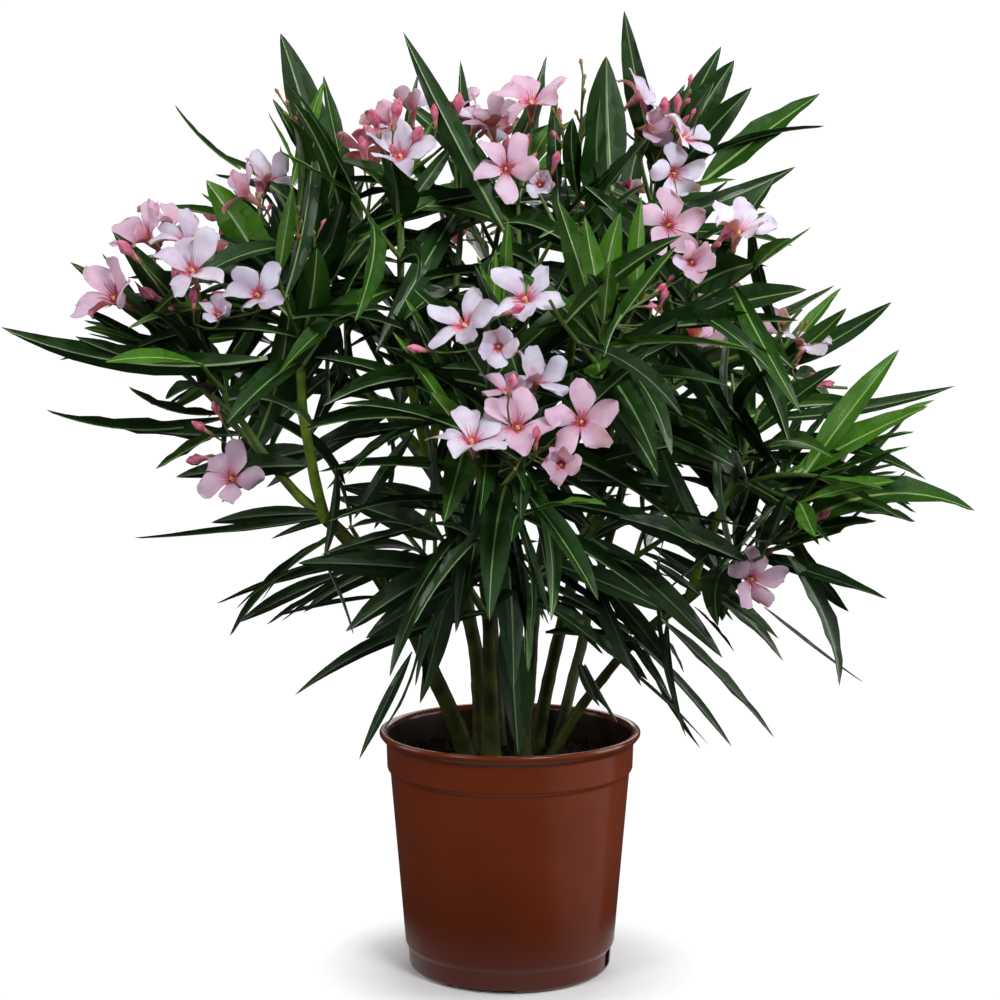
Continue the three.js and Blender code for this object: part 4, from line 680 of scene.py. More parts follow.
# %% Finishes of a flower's small parts
SMALL_PARTS = {  # name: (dark, pale, roughness, patches per metre, grains per metre)
    "petal throat": ((0.62, 0.17, 0.24), (0.70, 0.32, 0.38), 0.55, 300, 1400),
    "throat fringe": ((0.55, 0.07, 0.14), (0.66, 0.16, 0.24), 0.5, 300, 1400),
    "flower tube": ((0.55, 0.16, 0.15), (0.64, 0.32, 0.24), 0.5, 220, 1400),
    "anther cone": ((0.72, 0.36, 0.09), (0.92, 0.72, 0.38), 0.6, 500, 2500),
    "sepal": ((0.14, 0.045, 0.025), (0.16, 0.17, 0.04), 0.55, 200, 1400),
    "flower bud": ((0.48, 0.045, 0.11), (0.66, 0.24, 0.35), 0.5, 160, 1400),
    "young bud": ((0.09, 0.15, 0.015), (0.28, 0.11, 0.035), 0.5, 90, 1400),
}
small_finishes = {name: new_finish(name, *values) for name, values in SMALL_PARTS.items()}
print("small parts:", ", ".join(small_finishes))

# %% [markdown]
# The pot is moulded red-brown plastic with a soft gloss. Painted shade makes it darker towards the ground,
# and a second colour blended in by height gives that. Inside, painted shade makes it nearly black. Peat is
# matt and almost black too, so its crumbs show by their relief and a slightly paler tint.

# %% Pot and soil finishes
PAINTED_SHADE_COLOUR = (0.034, 0.0035, 0.001)  # painted shade: the plastic's colour near the ground
PAINTED_SHADE_TOP = 0.1  # metres above the ground at which the painted shade ends
PAINTED_SHADE_SHARE = 0.75  # share of the painted shade at the ground

pot_plastic = new_finish("red brown plastic", (0.136, 0.0235, 0.0066), (0.156, 0.029, 0.0088), 0.2,
                         patches=14, grains=1400, height=0.000004, Specular_IOR_Level=0.33)
pot_tree = pot_plastic.node_tree
on_pot = add_node(pot_tree, "ShaderNodeTexCoord").outputs["Object"]
# Painted shade: the plastic is blended towards a darker colour by height, darkest at the ground, for the
# light that falls off downwards.
painted_shade = range_of(pot_tree, parts_of(pot_tree, on_pot)["Z"], (0.0, PAINTED_SHADE_TOP), (PAINTED_SHADE_SHARE, 0.0))
blend_in(pot_plastic, painted_shade, PAINTED_SHADE_COLOUR)
# Painted shade: the inside of the pot is painted nearly black, for the shade that falls into it.
pot_inside_painted_shade = new_finish("plastic darkened by painted shade", (0.012, 0.005, 0.003), (0.024, 0.009, 0.005), 0.5,
                        patches=40, grains=1200, Specular_IOR_Level=0.2)
peat = new_finish("peat", (0.004, 0.003, 0.0022), (0.014, 0.010, 0.007), 0.92, patches=160,
                  height=0.001, Specular_IOR_Level=0.1)
crumb_finish = new_finish("peat crumb", (0.006, 0.0045, 0.003), (0.022, 0.014, 0.009), 0.9,
                          patches=200, grains=1500, Specular_IOR_Level=0.1)
print("finishes:", len(bpy.data.materials))

# %% [markdown]
# ## Tools for pieces
# A piece that Geometry Nodes make starts as a host mesh. Its modifier is read once, the result is kept as a
# plain mesh, and the host goes away. A pattern piece, such as one leaf or one flower, is built by code as a
# small mesh whose faces are numbered by finish, and the node tree deals it out and gives each number its
# material.


# %% Plain meshes and pieces
def mesh_of(name, points, faces=(), edges=(), smooth=True):
    """A mesh from its points and faces, or edges."""
    mesh = bpy.data.meshes.new(name)
    mesh.from_pydata([tuple(p) for p in points], edges, faces)
    mesh.polygons.foreach_set("use_smooth", [smooth] * len(mesh.polygons))
    return mesh


def place_piece(name, mesh, nodes):
    """A finished piece: it rides on the one body and stands for its nodes."""
    piece = add_object(name, mesh)
    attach(piece, "root")
    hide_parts(*nodes)
    triangles = sum(len(p.vertices) - 2 for p in mesh.polygons)
    print(f"{name}: {triangles} triangles for {len(nodes)} nodes")
    return piece


def store(mesh, name, kind, values, domain="POINT"):
    """An attribute on a mesh, from one value for each element."""
    layer = mesh.attributes.new(name, kind, domain)
    flat = np.asarray(values).ravel()
    layer.data.foreach_set("vector" if kind == "FLOAT_VECTOR" else "value", flat)


def add_map(mesh, places):
    """The mesh's own map, from one place for each point."""
    chart = mesh.uv_layers.new(name="UVMap")
    corners = np.zeros(len(mesh.loops), np.int32)
    mesh.loops.foreach_get("vertex_index", corners)
    chart.data.foreach_set("uv", np.array(places)[corners].ravel())


def result_of(host):
    """What an object's modifiers make of its mesh, as a plain mesh."""
    view = bpy.context.evaluated_depsgraph_get()
    return bpy.data.meshes.new_from_object(host.evaluated_get(view))


def run_tree(name, host_mesh, tree, settings):
    """Reads what a Geometry Nodes tree makes of a host mesh, as a plain mesh."""
    host = add_object(name, host_mesh)
    modifier = host.modifiers.new("make", "NODES")
    modifier.node_group = tree
    for item in tree.interface.items_tree:
        if item.item_type == "SOCKET" and item.in_out == "INPUT" and item.name in settings:
            modifier[item.identifier] = settings[item.name]
    made = result_of(host)
    made.name = name
    host.modifiers.clear()
    bpy.data.objects.remove(host)
    return made


def shelf(name, meshes):
    """A collection of pattern pieces, in order, for a node tree to pick from."""
    collection = bpy.data.collections.new(name)
    for i, mesh in enumerate(meshes):
        collection.objects.link(bpy.data.objects.new(f"{name} {i:02d}", mesh))
    return collection


print("tools for meshes, maps, trees and shelves")


# %% [markdown]
# ## Limbs
# Stems are round rods that taper, with a slight kink and swelling where each whorl of leaves stood, and
# fine furrows. They could be lofted by hand, but a rod along a curve is what the Curve to Mesh node makes.
# The tree reads the girth at each point, sweeps a circle and then pushes the skin in and out by a stretched
# noise.


# %% The tree that sweeps bark along curves
def read(tree, name, kind="FLOAT"):
    """A named attribute of the geometry."""
    return add_node(tree, "GeometryNodeInputNamedAttribute", {"Name": name}, data_type=kind).outputs[0]


limb_tree, given, wanted = new_group("bark along curves", [
    ("Lines", "in", GEOMETRY), ("Sides", "in", "NodeSocketInt"), ("Furrow depth", "in", NUMBER),
    ("Furrows per metre", "in", NUMBER), ("Bark", "in", FINISH),
    ("Limbs", "out", GEOMETRY)], "GeometryNodeTree")
lines = add_node(limb_tree, "GeometryNodeMeshToCurve", {0: given["Lines"]})
ring = add_node(limb_tree, "GeometryNodeCurvePrimitiveCircle", {"Resolution": given["Sides"], "Radius": 1.0})
swept = add_node(limb_tree, "GeometryNodeCurveToMesh", {
    "Curve": lines.outputs[0], "Profile Curve": ring.outputs[0], "Scale": read(limb_tree, "girth"),
    "Fill Caps": True})
where = add_node(limb_tree, "GeometryNodeInputPosition").outputs[0]
drawn_out = vector_of(limb_tree, "MULTIPLY", where, (1, 1, 0.25))
furrows = add_node(limb_tree, "ShaderNodeTexNoise", {
    "Vector": drawn_out, "Scale": given["Furrows per metre"], "Detail": 2.0})
in_and_out = math_of(limb_tree, "SUBTRACT", furrows.outputs[0], 0.5)
push = math_of(limb_tree, "MULTIPLY", in_and_out, given["Furrow depth"])
skin = vector_of(limb_tree, "SCALE", add_node(limb_tree, "GeometryNodeInputNormal").outputs[0], push)
furrowed = add_node(limb_tree, "GeometryNodeSetPosition", {"Geometry": swept.outputs[0], "Offset": skin})
smoothed = add_node(limb_tree, "GeometryNodeSetShadeSmooth", {0: furrowed.outputs[0]})
realized = add_node(limb_tree, "GeometryNodeRealizeInstances", {0: smoothed.outputs[0]})
finished = add_node(limb_tree, "GeometryNodeSetMaterial", {0: realized.outputs[0], "Material": given["Bark"]})
limb_tree.links.new(finished.outputs[0], wanted["Limbs"])
print(len(limb_tree.nodes), "nodes")


# %% Lines for the limbs
NODE_SPACING = 27  # mm between the joints where whorls stood
JOINT_SWELL, JOINT_LENGTH = 0.07, 0.12  # share of the girth, and share of the spacing
KINK = 0.9  # mm that a stem steps aside from joint to joint
FLARE_FADE = 14  # how fast the flare at a stem's foot fades along it
ENDS_EASE = 5  # a fifth of the limb at each end keeps to its curve


def line_mesh(name, lines):
    """Open lines as a mesh of edges. Each line is a list of (point, girth) in mm."""
    points, edges, girths = [], [], []
    for line in lines:
        first = len(points)
        points += [p * MM for p, _ in line]
        girths += [g * MM for _, g in line]
        edges += [(i, i + 1) for i in range(first, len(points) - 1)]
    mesh = mesh_of(name, points, edges=edges)
    store(mesh, "girth", "FLOAT", girths)
    return mesh


def limb_line(curve, radii, flare, seed, step=4, sink=0, kink=KINK):
    """Points and girths along a limb. sink starts it that far before its own start."""
    length = curve.length()
    count = max(4, round((length + sink) / step))
    line = []
    for i in range(count + 1):
        d = mix(-sink, length, i / count)
        u = d / length
        on = max(0, u)
        joint = d / NODE_SPACING
        swell = JOINT_SWELL * math.exp(-((joint - round(joint)) / JOINT_LENGTH) ** 2)
        here, there = math.floor(joint), math.floor(joint) + 1
        side, third = frame_round(curve.along(on), (1, 0.3, 0))
        share = joint - here
        aside = mix(swing(seed, here, kink), swing(seed, there, kink), share)
        back = mix(swing(seed, here + 50, kink), swing(seed, there + 50, kink), share)
        ease = min(1, max(0, u * ENDS_EASE), max(0, (1 - u) * ENDS_EASE))
        girth = mix(*radii, on) * (1 + flare * math.exp(-on * FLARE_FADE)) * (1 + swell)
        line.append((curve.point(u) + (side * aside + third * back) * ease, girth))
    return line


print("joints every", NODE_SPACING, "mm")


# %% Stems and boughs: their bark
SLIM = {"stem_east": 0.68, "stem_far": 0.72, "stem_right": 0.8, "stem_north": 0.8}
USUAL_SLIM = 0.88  # the bark's girth over the solid's
END_GIRTH = 0.8  # a limb's end is drawn in a little where it meets the next
STEM_BARK = {"Sides": 20, "Furrow depth": 0.0006, "Furrows per metre": 300.0, "Bark": bark_old}
BOUGH_BARK = {**STEM_BARK, "Furrow depth": 0.0004, "Bark": bark_green}
STEM_SINK, BOUGH_SINK = 5, 3  # mm that they start before their own start
for index, (name, limb) in enumerate(limbs.items()):
    settings, sink = (STEM_BARK, STEM_SINK) if name in STEMS else (BOUGH_BARK, BOUGH_SINK)
    radii = [r * SLIM.get(name, USUAL_SLIM) for r in limb["radii"]]
    line = limb_line(limb["curve"], radii, limb["flare"], index + 1, sink=sink)
    end, end_girth = line[-1]
    line[-1] = (end, end_girth * END_GIRTH)
    mesh = run_tree(name, line_mesh(name, [line]), limb_tree, settings)
    place_piece(f"{name}_bark", mesh, [name])

# %% [markdown]
# ## Growth
# Whorls of three leaves follow each other up a shoot, and each whorl is turned by a sixth of a circle. Old
# leaves stand out and droop, and young ones at the tip stand up. Side twigs leave the shoots and carry
# whorls of their own. The same rule made the solids, and here it runs with closer whorls, more twigs and
# leaves of true width.

# %% Side twigs
TURN = 2.4  # radians from one twig, bud or bloom to the next round a stem
LONG_SHOOT = 125  # mm: a longer shoot has three twigs and a shorter one two
TWIG_LENGTHS = (46, 62)
TWIG_LEAN = (0.72, 0.68)  # along the shoot, and out from it
TWIG_GIRTH = {"foot": 3.3, "tip": 1.5}


def side_twigs(shoot):
    """Side twigs leave a shoot one after another round it."""
    plan, curve, seed = shoot["plan"], shoot["curve"], shoot["seed"]
    count = plan.get("twigs", 3 if curve.length() > LONG_SHOOT else 2)
    lean_on, lean_out = TWIG_LEAN
    twigs = []
    for k in range(count):
        u = mix(max(plan["bare"], shoot["taken"] + 0.12), 0.8, (k + 0.3) / count)
        root, along = curve.point(u), curve.along(u)
        east, north = frame_round(along)
        angle = plan["turn"] + 1 + k * TURN + seed
        lead = unit(along * lean_on + east * math.cos(angle) * lean_out + north * math.sin(angle) * lean_out)
        length = mix(*TWIG_LENGTHS, noise(seed, 40 + k))
        tip = root + lead * length + along * length * 0.25
        twig_plan = {**plan, "bare": 0.4, "turn": angle}
        twig = Bend(root, root + lead * length * 0.5, tip)
        twigs.append({**shoot, "curve": twig, "plan": twig_plan, "seed": seed + 40 * (k + 1)})
    return twigs


twig_lines = []
shoot_girth = (TWIG_GIRTH["foot"], TWIG_GIRTH["tip"])
side_girth = (TWIG_GIRTH["tip"] * 1.35, TWIG_GIRTH["tip"] * 0.8)
for shoot in shoots:
    shoot["twigs"] = side_twigs(shoot)
    twig_lines.append(limb_line(shoot["curve"], shoot_girth, 0, shoot["seed"], step=5, sink=2, kink=0.4))
    for twig in shoot["twigs"]:
        twig_lines.append(limb_line(twig["curve"], side_girth, 0, twig["seed"], step=6, kink=0.3))
print(len(twig_lines), "shoots and twigs")

# %% [markdown]
# A leaf may not pass through a limb, stand in the pot's wall or reach out of the crown. The crown's outline
# is drawn by the tips of the long leaves, seen from the front, round the heart of the plant. Leaves also
# part in front of the flowers, which the shrub holds out to the light.

# %% The crown's outline
HEART = np.array((-8, 0, 410))
DEPTH = 250  # mm that the crown reaches to the front and to the back
OUTLINE_STEPS = 28
LEAST_REACH = 170.0
outline = [LEAST_REACH] * OUTLINE_STEPS


def bearing(p):
    """The direction of a place from the heart, seen from the front, as a share of a turn."""
    return math.atan2(p[2] - HEART[2], p[0] - HEART[0]) / (2 * math.pi) + 0.5


def reach_of(p):
    """How far a place is from the heart, seen from the front."""
    return math.hypot(p[2] - HEART[2], p[0] - HEART[0])


for shoot in shoots:
    for lead in shoot["plan"].get("leads", []):
        step = math.floor(bearing(lead) * OUTLINE_STEPS) % OUTLINE_STEPS
        outline[step] = max(outline[step], reach_of(lead))


def outness(p):
    """Over 1 outside the crown, under 1 inside it."""
    at = bearing(p) * OUTLINE_STEPS - 0.5 + OUTLINE_STEPS
    low = math.floor(at)
    edge = mix(outline[low % OUTLINE_STEPS], outline[(low + 1) % OUTLINE_STEPS], at - low)
    return math.hypot(reach_of(p) / edge, p[1] / DEPTH * 0.9)


print("the crown reaches up to", round(max(outline)), "mm from its heart")

# %% Gaps in the crown
SKY = [  # places where sky shows, seen from the front: (x, z, radius) in the plane through the pot's axis
    (202, 226, 24), (221, 276, 18), (236, 252, 14), (276, 322, 23), (290, 253, 34), (174, 257, 9),
    (75, 228, 9), (333, 396, 27), (258, 451, 11), (306, 452, 15), (262, 515, 13), (270, 475, 14),
    (191, 421, 7), (163, 202, 11), (244, 548, 27), (212, 586, 16), (189, 655, 10), (120, 697, 21),
    (32, 709, 30), (-22, 665, 7), (43, 658, 7), (-254, 399, 15), (-255, 358, 17), (-236, 431, 7),
    (-266, 453, 9), (-303, 446, 15), (-197, 364, 7), (-121, 650, 12), (-114, 682, 22), (-192, 632, 16),
    (-188, 680, 18), (-249, 609, 22), (-341, 497, 15), (-321, 601, 33), (-147, 247, 12), (37, 241, 10),
    (-38, 246, 7), (-123, 300, 8), (-111, 377, 8), (-86, 309, 7), (-129, 187, 21), (-86, 534, 7),
    (-34, 549, 7), (-15, 556, 5), (30, 543, 6), (-120, 478, 9), (-108, 575, 7), (-182, 478, 8),
    (-68, 402, 6), (-79, 376, 6), (60, 406, 6), (174, 387, 7), (136, 368, 6), (230, 414, 9), (249, 418, 7),
    (85, 284, 6), (99, 311, 8), (-271, 448, 10), (-253, 418, 8), (-84, 307, 12), (-152, 292, 7),
    (-137, 229, 12), (145, 253, 11), (183, 238, 11), (243, 315, 9), (262, 493, 7), (209, 526, 9),
]
EYE = np.array(CAMERA_PLACE) / MM


def leaf_point(leaf, v):
    """The middle of a leaf at share v of its length."""
    b = leaf["bend"]
    k = leaf["length"] / b
    return leaf["root"] + leaf["lead"] * math.sin(b * v) * k + leaf["toward"] * (1 - math.cos(b * v)) * k


def against_sky(leaf):
    """True where a leaf would close one of the gaps."""
    for v in np.linspace(0.25, 1, 8):
        p = leaf_point(leaf, v)
        seen = EYE + (p - EYE) * EYE[1] / (EYE[1] - p[1])
        if any(math.hypot(seen[0] - x, seen[2] - z) < r + leaf["width"] * 0.2 for x, z, r in SKY):
            return True
    return False


print(len(SKY), "gaps are kept open")

# %% Room beside wood, pot and flowers
WALL_TOP, WALL_INSIDE, WALL_OUTSIDE = 195, 76, 112  # mm: no leaf stands in the pot's wall
LOWEST_LEAF = 172  # mm: lower is soil
VIEW_RADIUS, VIEW_BEFORE, VIEW_BEHIND = 24, -90, 18  # mm round a bloom that leaves keep free

wood = []
for limb in limbs.values():
    wood += [(limb["curve"].point(u), limb["radii"][0]) for u in np.linspace(0, 1, 60)]
wood_tree = KDTree(len(wood))
for i, (p, _) in enumerate(wood):
    wood_tree.insert(p, i)
wood_tree.balance()
blooms = [np.array(b[:3], float) for s in shoots for b in s["plan"].get("blooms", [])]


def has_room(leaf):
    """True where a leaf meets no limb, no pot wall and no soil, and hides no flower."""
    for v in (0.3, 0.45, 0.6, 0.8, 1):
        p = leaf_point(leaf, v)
        _, nearest, distance = wood_tree.find(p)
        if distance < wood[nearest][1] + leaf["width"] * 0.18:
            return False
        in_wall = WALL_INSIDE < math.hypot(p[0], p[1]) < WALL_OUTSIDE
        if p[2] < LOWEST_LEAF or p[2] < WALL_TOP and in_wall:
            return False
        for bloom in blooms:
            beside = math.hypot(p[0] - bloom[0], p[2] - bloom[2])
            if beside < VIEW_RADIUS and VIEW_BEFORE < p[1] - bloom[1] < VIEW_BEHIND:
                return False
    return True


print(len(blooms), "blooms are kept clear")


# %% Leaves by rule
LEAF_LENGTH = 134
LEAF_WIDTH = 20
WHORL_SPACING = 15
SPREAD = {"low": 1.42, "top": 0.5}  # radians from the shoot's own direction
DROOP = {"low": 0.75, "top": 0.2, "old": 0.4}  # radians that a leaf bends
YOUNG = 0.7  # size of the leaves at the very tip
STRAIGHTEST = 0.01  # a bend may not be zero, because its curve is part of a circle


def curl_of(root, lead):
    """The way in which a leaf curls: down, and away from the middle of the plant."""
    away = np.array((root[0], root[1], 0.0))
    away = unit(away) if away @ away >= 1 else np.array((0, -1.0, 0))
    return across(np.array((0, 0, -0.75)) + away * 0.5, lead)


def ruled_leaves(shoot):
    """Whorls of three up a shoot or twig."""
    plan, curve, seed = shoot["plan"], shoot["curve"], shoot["seed"]
    old = plan.get("old", False)
    whorls = max(2, round(curve.length() * (1 - plan["bare"]) / WHORL_SPACING / plan.get("open", 1)))
    for w in range(whorls):
        f = w / (whorls - 1)
        u = mix(plan["bare"], 0.985, f)
        root, along = curve.point(u), curve.along(u)
        east, north = frame_round(along)
        age = 1 - f * 0.35 if old else 1 - f
        size = YOUNG if f > 0.9 else 1
        for k in range(3):
            i = w * 3 + k
            angle = plan["turn"] + w * math.pi / 3 + k * 2 * math.pi / 3 + swing(seed, i, 0.22)
            out = east * math.cos(angle) + north * math.sin(angle)
            spread = mix(SPREAD["top"], SPREAD["low"], age**0.7) + swing(seed, i + 100, 0.16)
            lead = along * math.cos(spread) + out * math.sin(spread)
            bend = mix(DROOP["top"], DROOP["old" if old else "low"], age) + swing(seed, i + 300, 0.35)
            yield {
                "root": root, "lead": lead, "toward": curl_of(root, lead), "age": age, "seed": seed * 100 + i,
                "length": LEAF_LENGTH * plan.get("size", 1) * size * (1 + swing(seed, i + 200, 0.16)),
                "bend": bend if abs(bend) > STRAIGHTEST else STRAIGHTEST, "roll": swing(seed, i + 400, 0.5),
                "width": LEAF_WIDTH * plan.get("slim", 1) * size * (1 + swing(seed, i + 500, 0.22)),
            }


print("a leaf is", LEAF_LENGTH, "by", LEAF_WIDTH, "mm")

# %% Leads, and all the leaves that find room
def lead_leaves(shoot):
    """The longest leaves of a shoot end at stated tips."""
    plan, curve = shoot["plan"], shoot["curve"]
    for i, (x, y, z, bend, roll, width, *rooted) in enumerate(plan.get("leads", [])):
        tip = np.array((x, y, z), float)
        usual = (0.62 if z < plan["tip"][2] else 0.88) - (i % 3) * 0.1
        place = rooted[0] if rooted else max(plan["bare"], usual)
        root = np.array(place, float) if isinstance(place, tuple) else curve.point(place)
        chord = unit(tip - root)
        curl = curl_of(root, chord)
        half = bend / 2
        yield {
            "root": root, "lead": chord * math.cos(half) - curl * math.sin(half),
            "toward": curl * math.cos(half) + chord * math.sin(half),
            "length": np.linalg.norm(tip - root) * half / math.sin(half), "bend": bend, "roll": roll,
            "width": width, "age": 0.5, "seed": shoot["seed"] * 100 + 90 + i,
            "kind": LEAD_KINDS.get((shoot["name"], i)),
        }


SHORTER = (1, 0.9, 0.8, 0.7)  # a leaf that would leave the crown is tried shorter

leaves = []
for shoot in shoots:
    leaves += [{**leaf, "shoot": shoot} for leaf in lead_leaves(shoot)]
    for grower in [shoot, *shoot["twigs"]]:
        for wished in ruled_leaves(grower):
            for share in SHORTER:
                leaf = {**wished, "length": wished["length"] * share, "shoot": shoot}
                if outness(leaf_point(leaf, 1)) < 1 and not against_sky(leaf):
                    if has_room(leaf):
                        leaves.append(leaf)
                    break
print(len(leaves), "leaves")

# %% [markdown]
# ## Leaf blades
# One flat pattern of a leaf is enough: narrow at its stalk, widest below the middle, drawn out to a point,
# with a pale rib let in along the middle and a keel under it. Geometry Nodes lay a copy of the pattern at
# each leaf's root and then bend it. Each point of the pattern knows where it sits in the flat leaf, and
# each leaf brings its own length, width, bend and roll, so no two blades are alike.

# %% Flat leaf patterns
STATIONS = (0, 0.03, 0.08, 0.15, 0.23, 0.32, 0.42, 0.52, 0.62, 0.72, 0.81, 0.89, 0.96)
STALK_END = 0.1  # share of the length
RIB_WIDTH = 0.085  # of the leaf's greatest half width
FOLD = 0.3  # how far the edges stand above the rib, as a share of the half width
BLADE, RIB, BELOW = 0, 1, 2  # finish numbers
SECTION_PLACES = (0, 0.24, 0.455, 0.545, 0.76, 1, 0.545, 0.5, 0.455)  # across the leaf's map
SECTION_FINISH = (BLADE, BLADE, RIB, BLADE, BLADE, BELOW, RIB, RIB, BELOW)
RIPPLES = ((0.04, 0), (0.09, 1.2), (0.16, 2.6), (0.06, 4.1))  # (height, phase) of the edge of each pattern


def leaf_shape(v):
    """Half width at share v of the length, where the widest place is 1."""
    stalk = 0.1 + 0.04 * (1 - v)
    return max(stalk if v < STALK_END else 0, math.sin(math.pi * v**0.88) ** 0.82)


def leaf_pattern(name, ripple, phase):
    """At each station: edge, quarter, two points on the rib, quarter, edge, and three on the keel below."""
    points, places, faces, finish = [], [], [], []
    for v in STATIONS:
        half = leaf_shape(v)
        rib = min(0.4 * half, RIB_WIDTH * (1.25 - v))
        fold = FOLD * half
        left, right = [
            ripple * math.sin(v * 21 + phase + side * 1.7) * half * min(1, v * 3) for side in (0, 1)]
        keel = 0.10 + 0.07 * (1 - v)
        quarter = half * 0.52
        points += [
            (-half, v, fold + left), (-quarter, v, fold * 0.34 + left * 0.3), (-rib, v, 0), (rib, v, 0),
            (quarter, v, fold * 0.34 + right * 0.3), (half, v, fold + right),
            (rib * 1.1, v, -0.045), (0, v, -keel), (-rib * 1.1, v, -0.045),
        ]
        places += [(u, v) for u in SECTION_PLACES]
    count = len(SECTION_PLACES)
    for j in range(len(STATIONS) - 1):
        for i in range(count):
            n = (i + 1) % count
            row, next_row = j * count, (j + 1) * count
            faces.append((row + i, row + n, next_row + n, next_row + i))
            finish.append(RIB if j == 0 else SECTION_FINISH[i])
    tip = len(points)
    points.append((0, 1, 0.02))
    places.append((0.5, 1))
    last = (len(STATIONS) - 1) * count
    for i in range(count):
        faces.append((last + i, last + (i + 1) % count, tip))
        finish.append(SECTION_FINISH[i])
    faces.append(tuple(reversed(range(count))))
    finish.append(RIB)
    mesh = mesh_of(name, points, faces)
    store(mesh, "flat", "FLOAT_VECTOR", points)
    store(mesh, "finish", "INT", finish, "FACE")
    add_map(mesh, places)
    mesh.set_sharp_from_angle(angle=math.radians(42))
    return mesh


leaf_shelf = shelf("leaf pattern", [leaf_pattern(f"leaf {i}", *ripple) for i, ripple in enumerate(RIPPLES)])


# %% Steps that several trees share
def set_finishes(tree, geometry, given, names):
    """Gives each numbered group of faces its material."""
    for number, label in enumerate(names):
        same = add_node(tree, "FunctionNodeCompare", data_type="INT", operation="EQUAL")
        values = [s for s in same.inputs if s.enabled]
        tree.links.new(read(tree, "finish", "INT"), values[0])
        values[1].default_value = number
        geometry = add_node(tree, "GeometryNodeSetMaterial", {
            0: geometry, "Selection": same.outputs[0], "Material": given[label]}).outputs[0]
    return geometry


def dealt_from_shelf(tree, points, shelf_socket, pick=None, **more):
    """Instances picked from a shelf, by number or else in turn, and made real."""
    patterns = add_node(tree, "GeometryNodeCollectionInfo", {
        0: shelf_socket, "Separate Children": True, "Reset Children": True})
    if pick is not None:
        more["Instance Index"] = pick
    dealt = add_node(tree, "GeometryNodeInstanceOnPoints", {
        "Points": points, "Instance": patterns.outputs[0], "Pick Instance": True, **more})
    return add_node(tree, "GeometryNodeRealizeInstances", {0: dealt.outputs[0]}).outputs[0]


print("patterns are dealt from a shelf, and then get their finishes")

# %% [markdown]
# A leaf bends as an arc of a circle: at share t of its length it has turned by t times its bend. The tree
# works out that turn for each point of the pattern, then the way along the leaf and the way below it, and
# rolls the blade round its own line. The pattern's width is laid out to the side, and its height against
# the way below.

# %% The tree that lays out and bends the leaves
LEAF_FINISHES = ("Blade", "Midrib", "Underside")
leaf_tree, given, wanted = new_group("bent leaves", [
    ("Roots", "in", GEOMETRY), ("Patterns", "in", SHELF),
    *[(label, "in", FINISH) for label in LEAF_FINISHES],
    ("Leaves", "out", GEOMETRY)], "GeometryNodeTree")


def product(first, second):
    return math_of(leaf_tree, "MULTIPLY", first, second)


def scaled(vector, size):
    return vector_of(leaf_tree, "SCALE", vector, size)


def plus(first, second):
    return vector_of(leaf_tree, "ADD", first, second)


def read_vector(name):
    return read(leaf_tree, name, "FLOAT_VECTOR")


laid = dealt_from_shelf(leaf_tree, given["Roots"], given["Patterns"], read(leaf_tree, "pick", "INT"))
flat = parts_of(leaf_tree, read_vector("flat"))
length, width, bend = parts_of(leaf_tree, read_vector("measure"))
lead, toward = read_vector("lead"), read_vector("toward")
turned = product(bend, flat[1])
sine, cosine = math_of(leaf_tree, "SINE", turned), math_of(leaf_tree, "COSINE", turned)
radius = math_of(leaf_tree, "DIVIDE", length, bend)
forward = scaled(lead, product(sine, radius))
sunk = scaled(toward, product(math_of(leaf_tree, "SUBTRACT", 1.0, cosine), radius))
along = plus(scaled(lead, cosine), scaled(toward, sine))
below = vector_of(leaf_tree, "SUBTRACT", scaled(toward, cosine), scaled(lead, sine))
roll = math_of(leaf_tree, "ADD", read(leaf_tree, "roll"), product(flat[1], read(leaf_tree, "twist")))
rolled = add_node(leaf_tree, "ShaderNodeVectorRotate", {
    "Vector": below, "Center": (0, 0, 0), "Axis": along, "Angle": roll}).outputs[0]
side = vector_of(leaf_tree, "CROSS_PRODUCT", rolled, along)
half_width = product(width, 0.5)
beside = scaled(side, product(flat[0], half_width))
lifted = scaled(rolled, product(flat[2], product(half_width, -1.0)))
middle = plus(read_vector("root"), plus(forward, sunk))
goal = plus(middle, plus(beside, lifted))
bent = add_node(leaf_tree, "GeometryNodeSetPosition", {"Geometry": laid, "Position": goal}).outputs[0]
leaf_tree.links.new(set_finishes(leaf_tree, bent, given, LEAF_FINISHES), wanted["Leaves"])
print(len(leaf_tree.nodes), "nodes")


# %% Deal the leaves by kind
OLD_BELOW, NONE_OLD_ABOVE = 350, 520  # mm: lower leaves are all old, and none is old above the second height
FRESH = {"age": 0.08, "share": 0.55, "lively age": 0.4}
GREEN = {"share": 0.15, "from": 400, "rise": 1600}  # more leaves are green the higher they root
MATURE_SHARE = 0.86


def kind_of(leaf):
    """Lower and inner leaves are old and dark, and the ends of the shoots are fresh."""
    if leaf.get("kind"):
        return leaf["kind"]
    chance, height, age = noise(leaf["seed"], 7), leaf["root"][2], leaf["age"]
    if leaf["shoot"]["plan"].get("old") or height < OLD_BELOW:
        return "old"
    lively = leaf["shoot"]["name"] in LIVELY
    if age < FRESH["age"] and chance < FRESH["share"] or age < FRESH["lively age"] and lively:
        return "fresh"
    if chance < GREEN["share"] + (height - GREEN["from"]) / GREEN["rise"]:
        return "green"
    return "mature" if chance < MATURE_SHARE or height > NONE_OLD_ABOVE else "old"


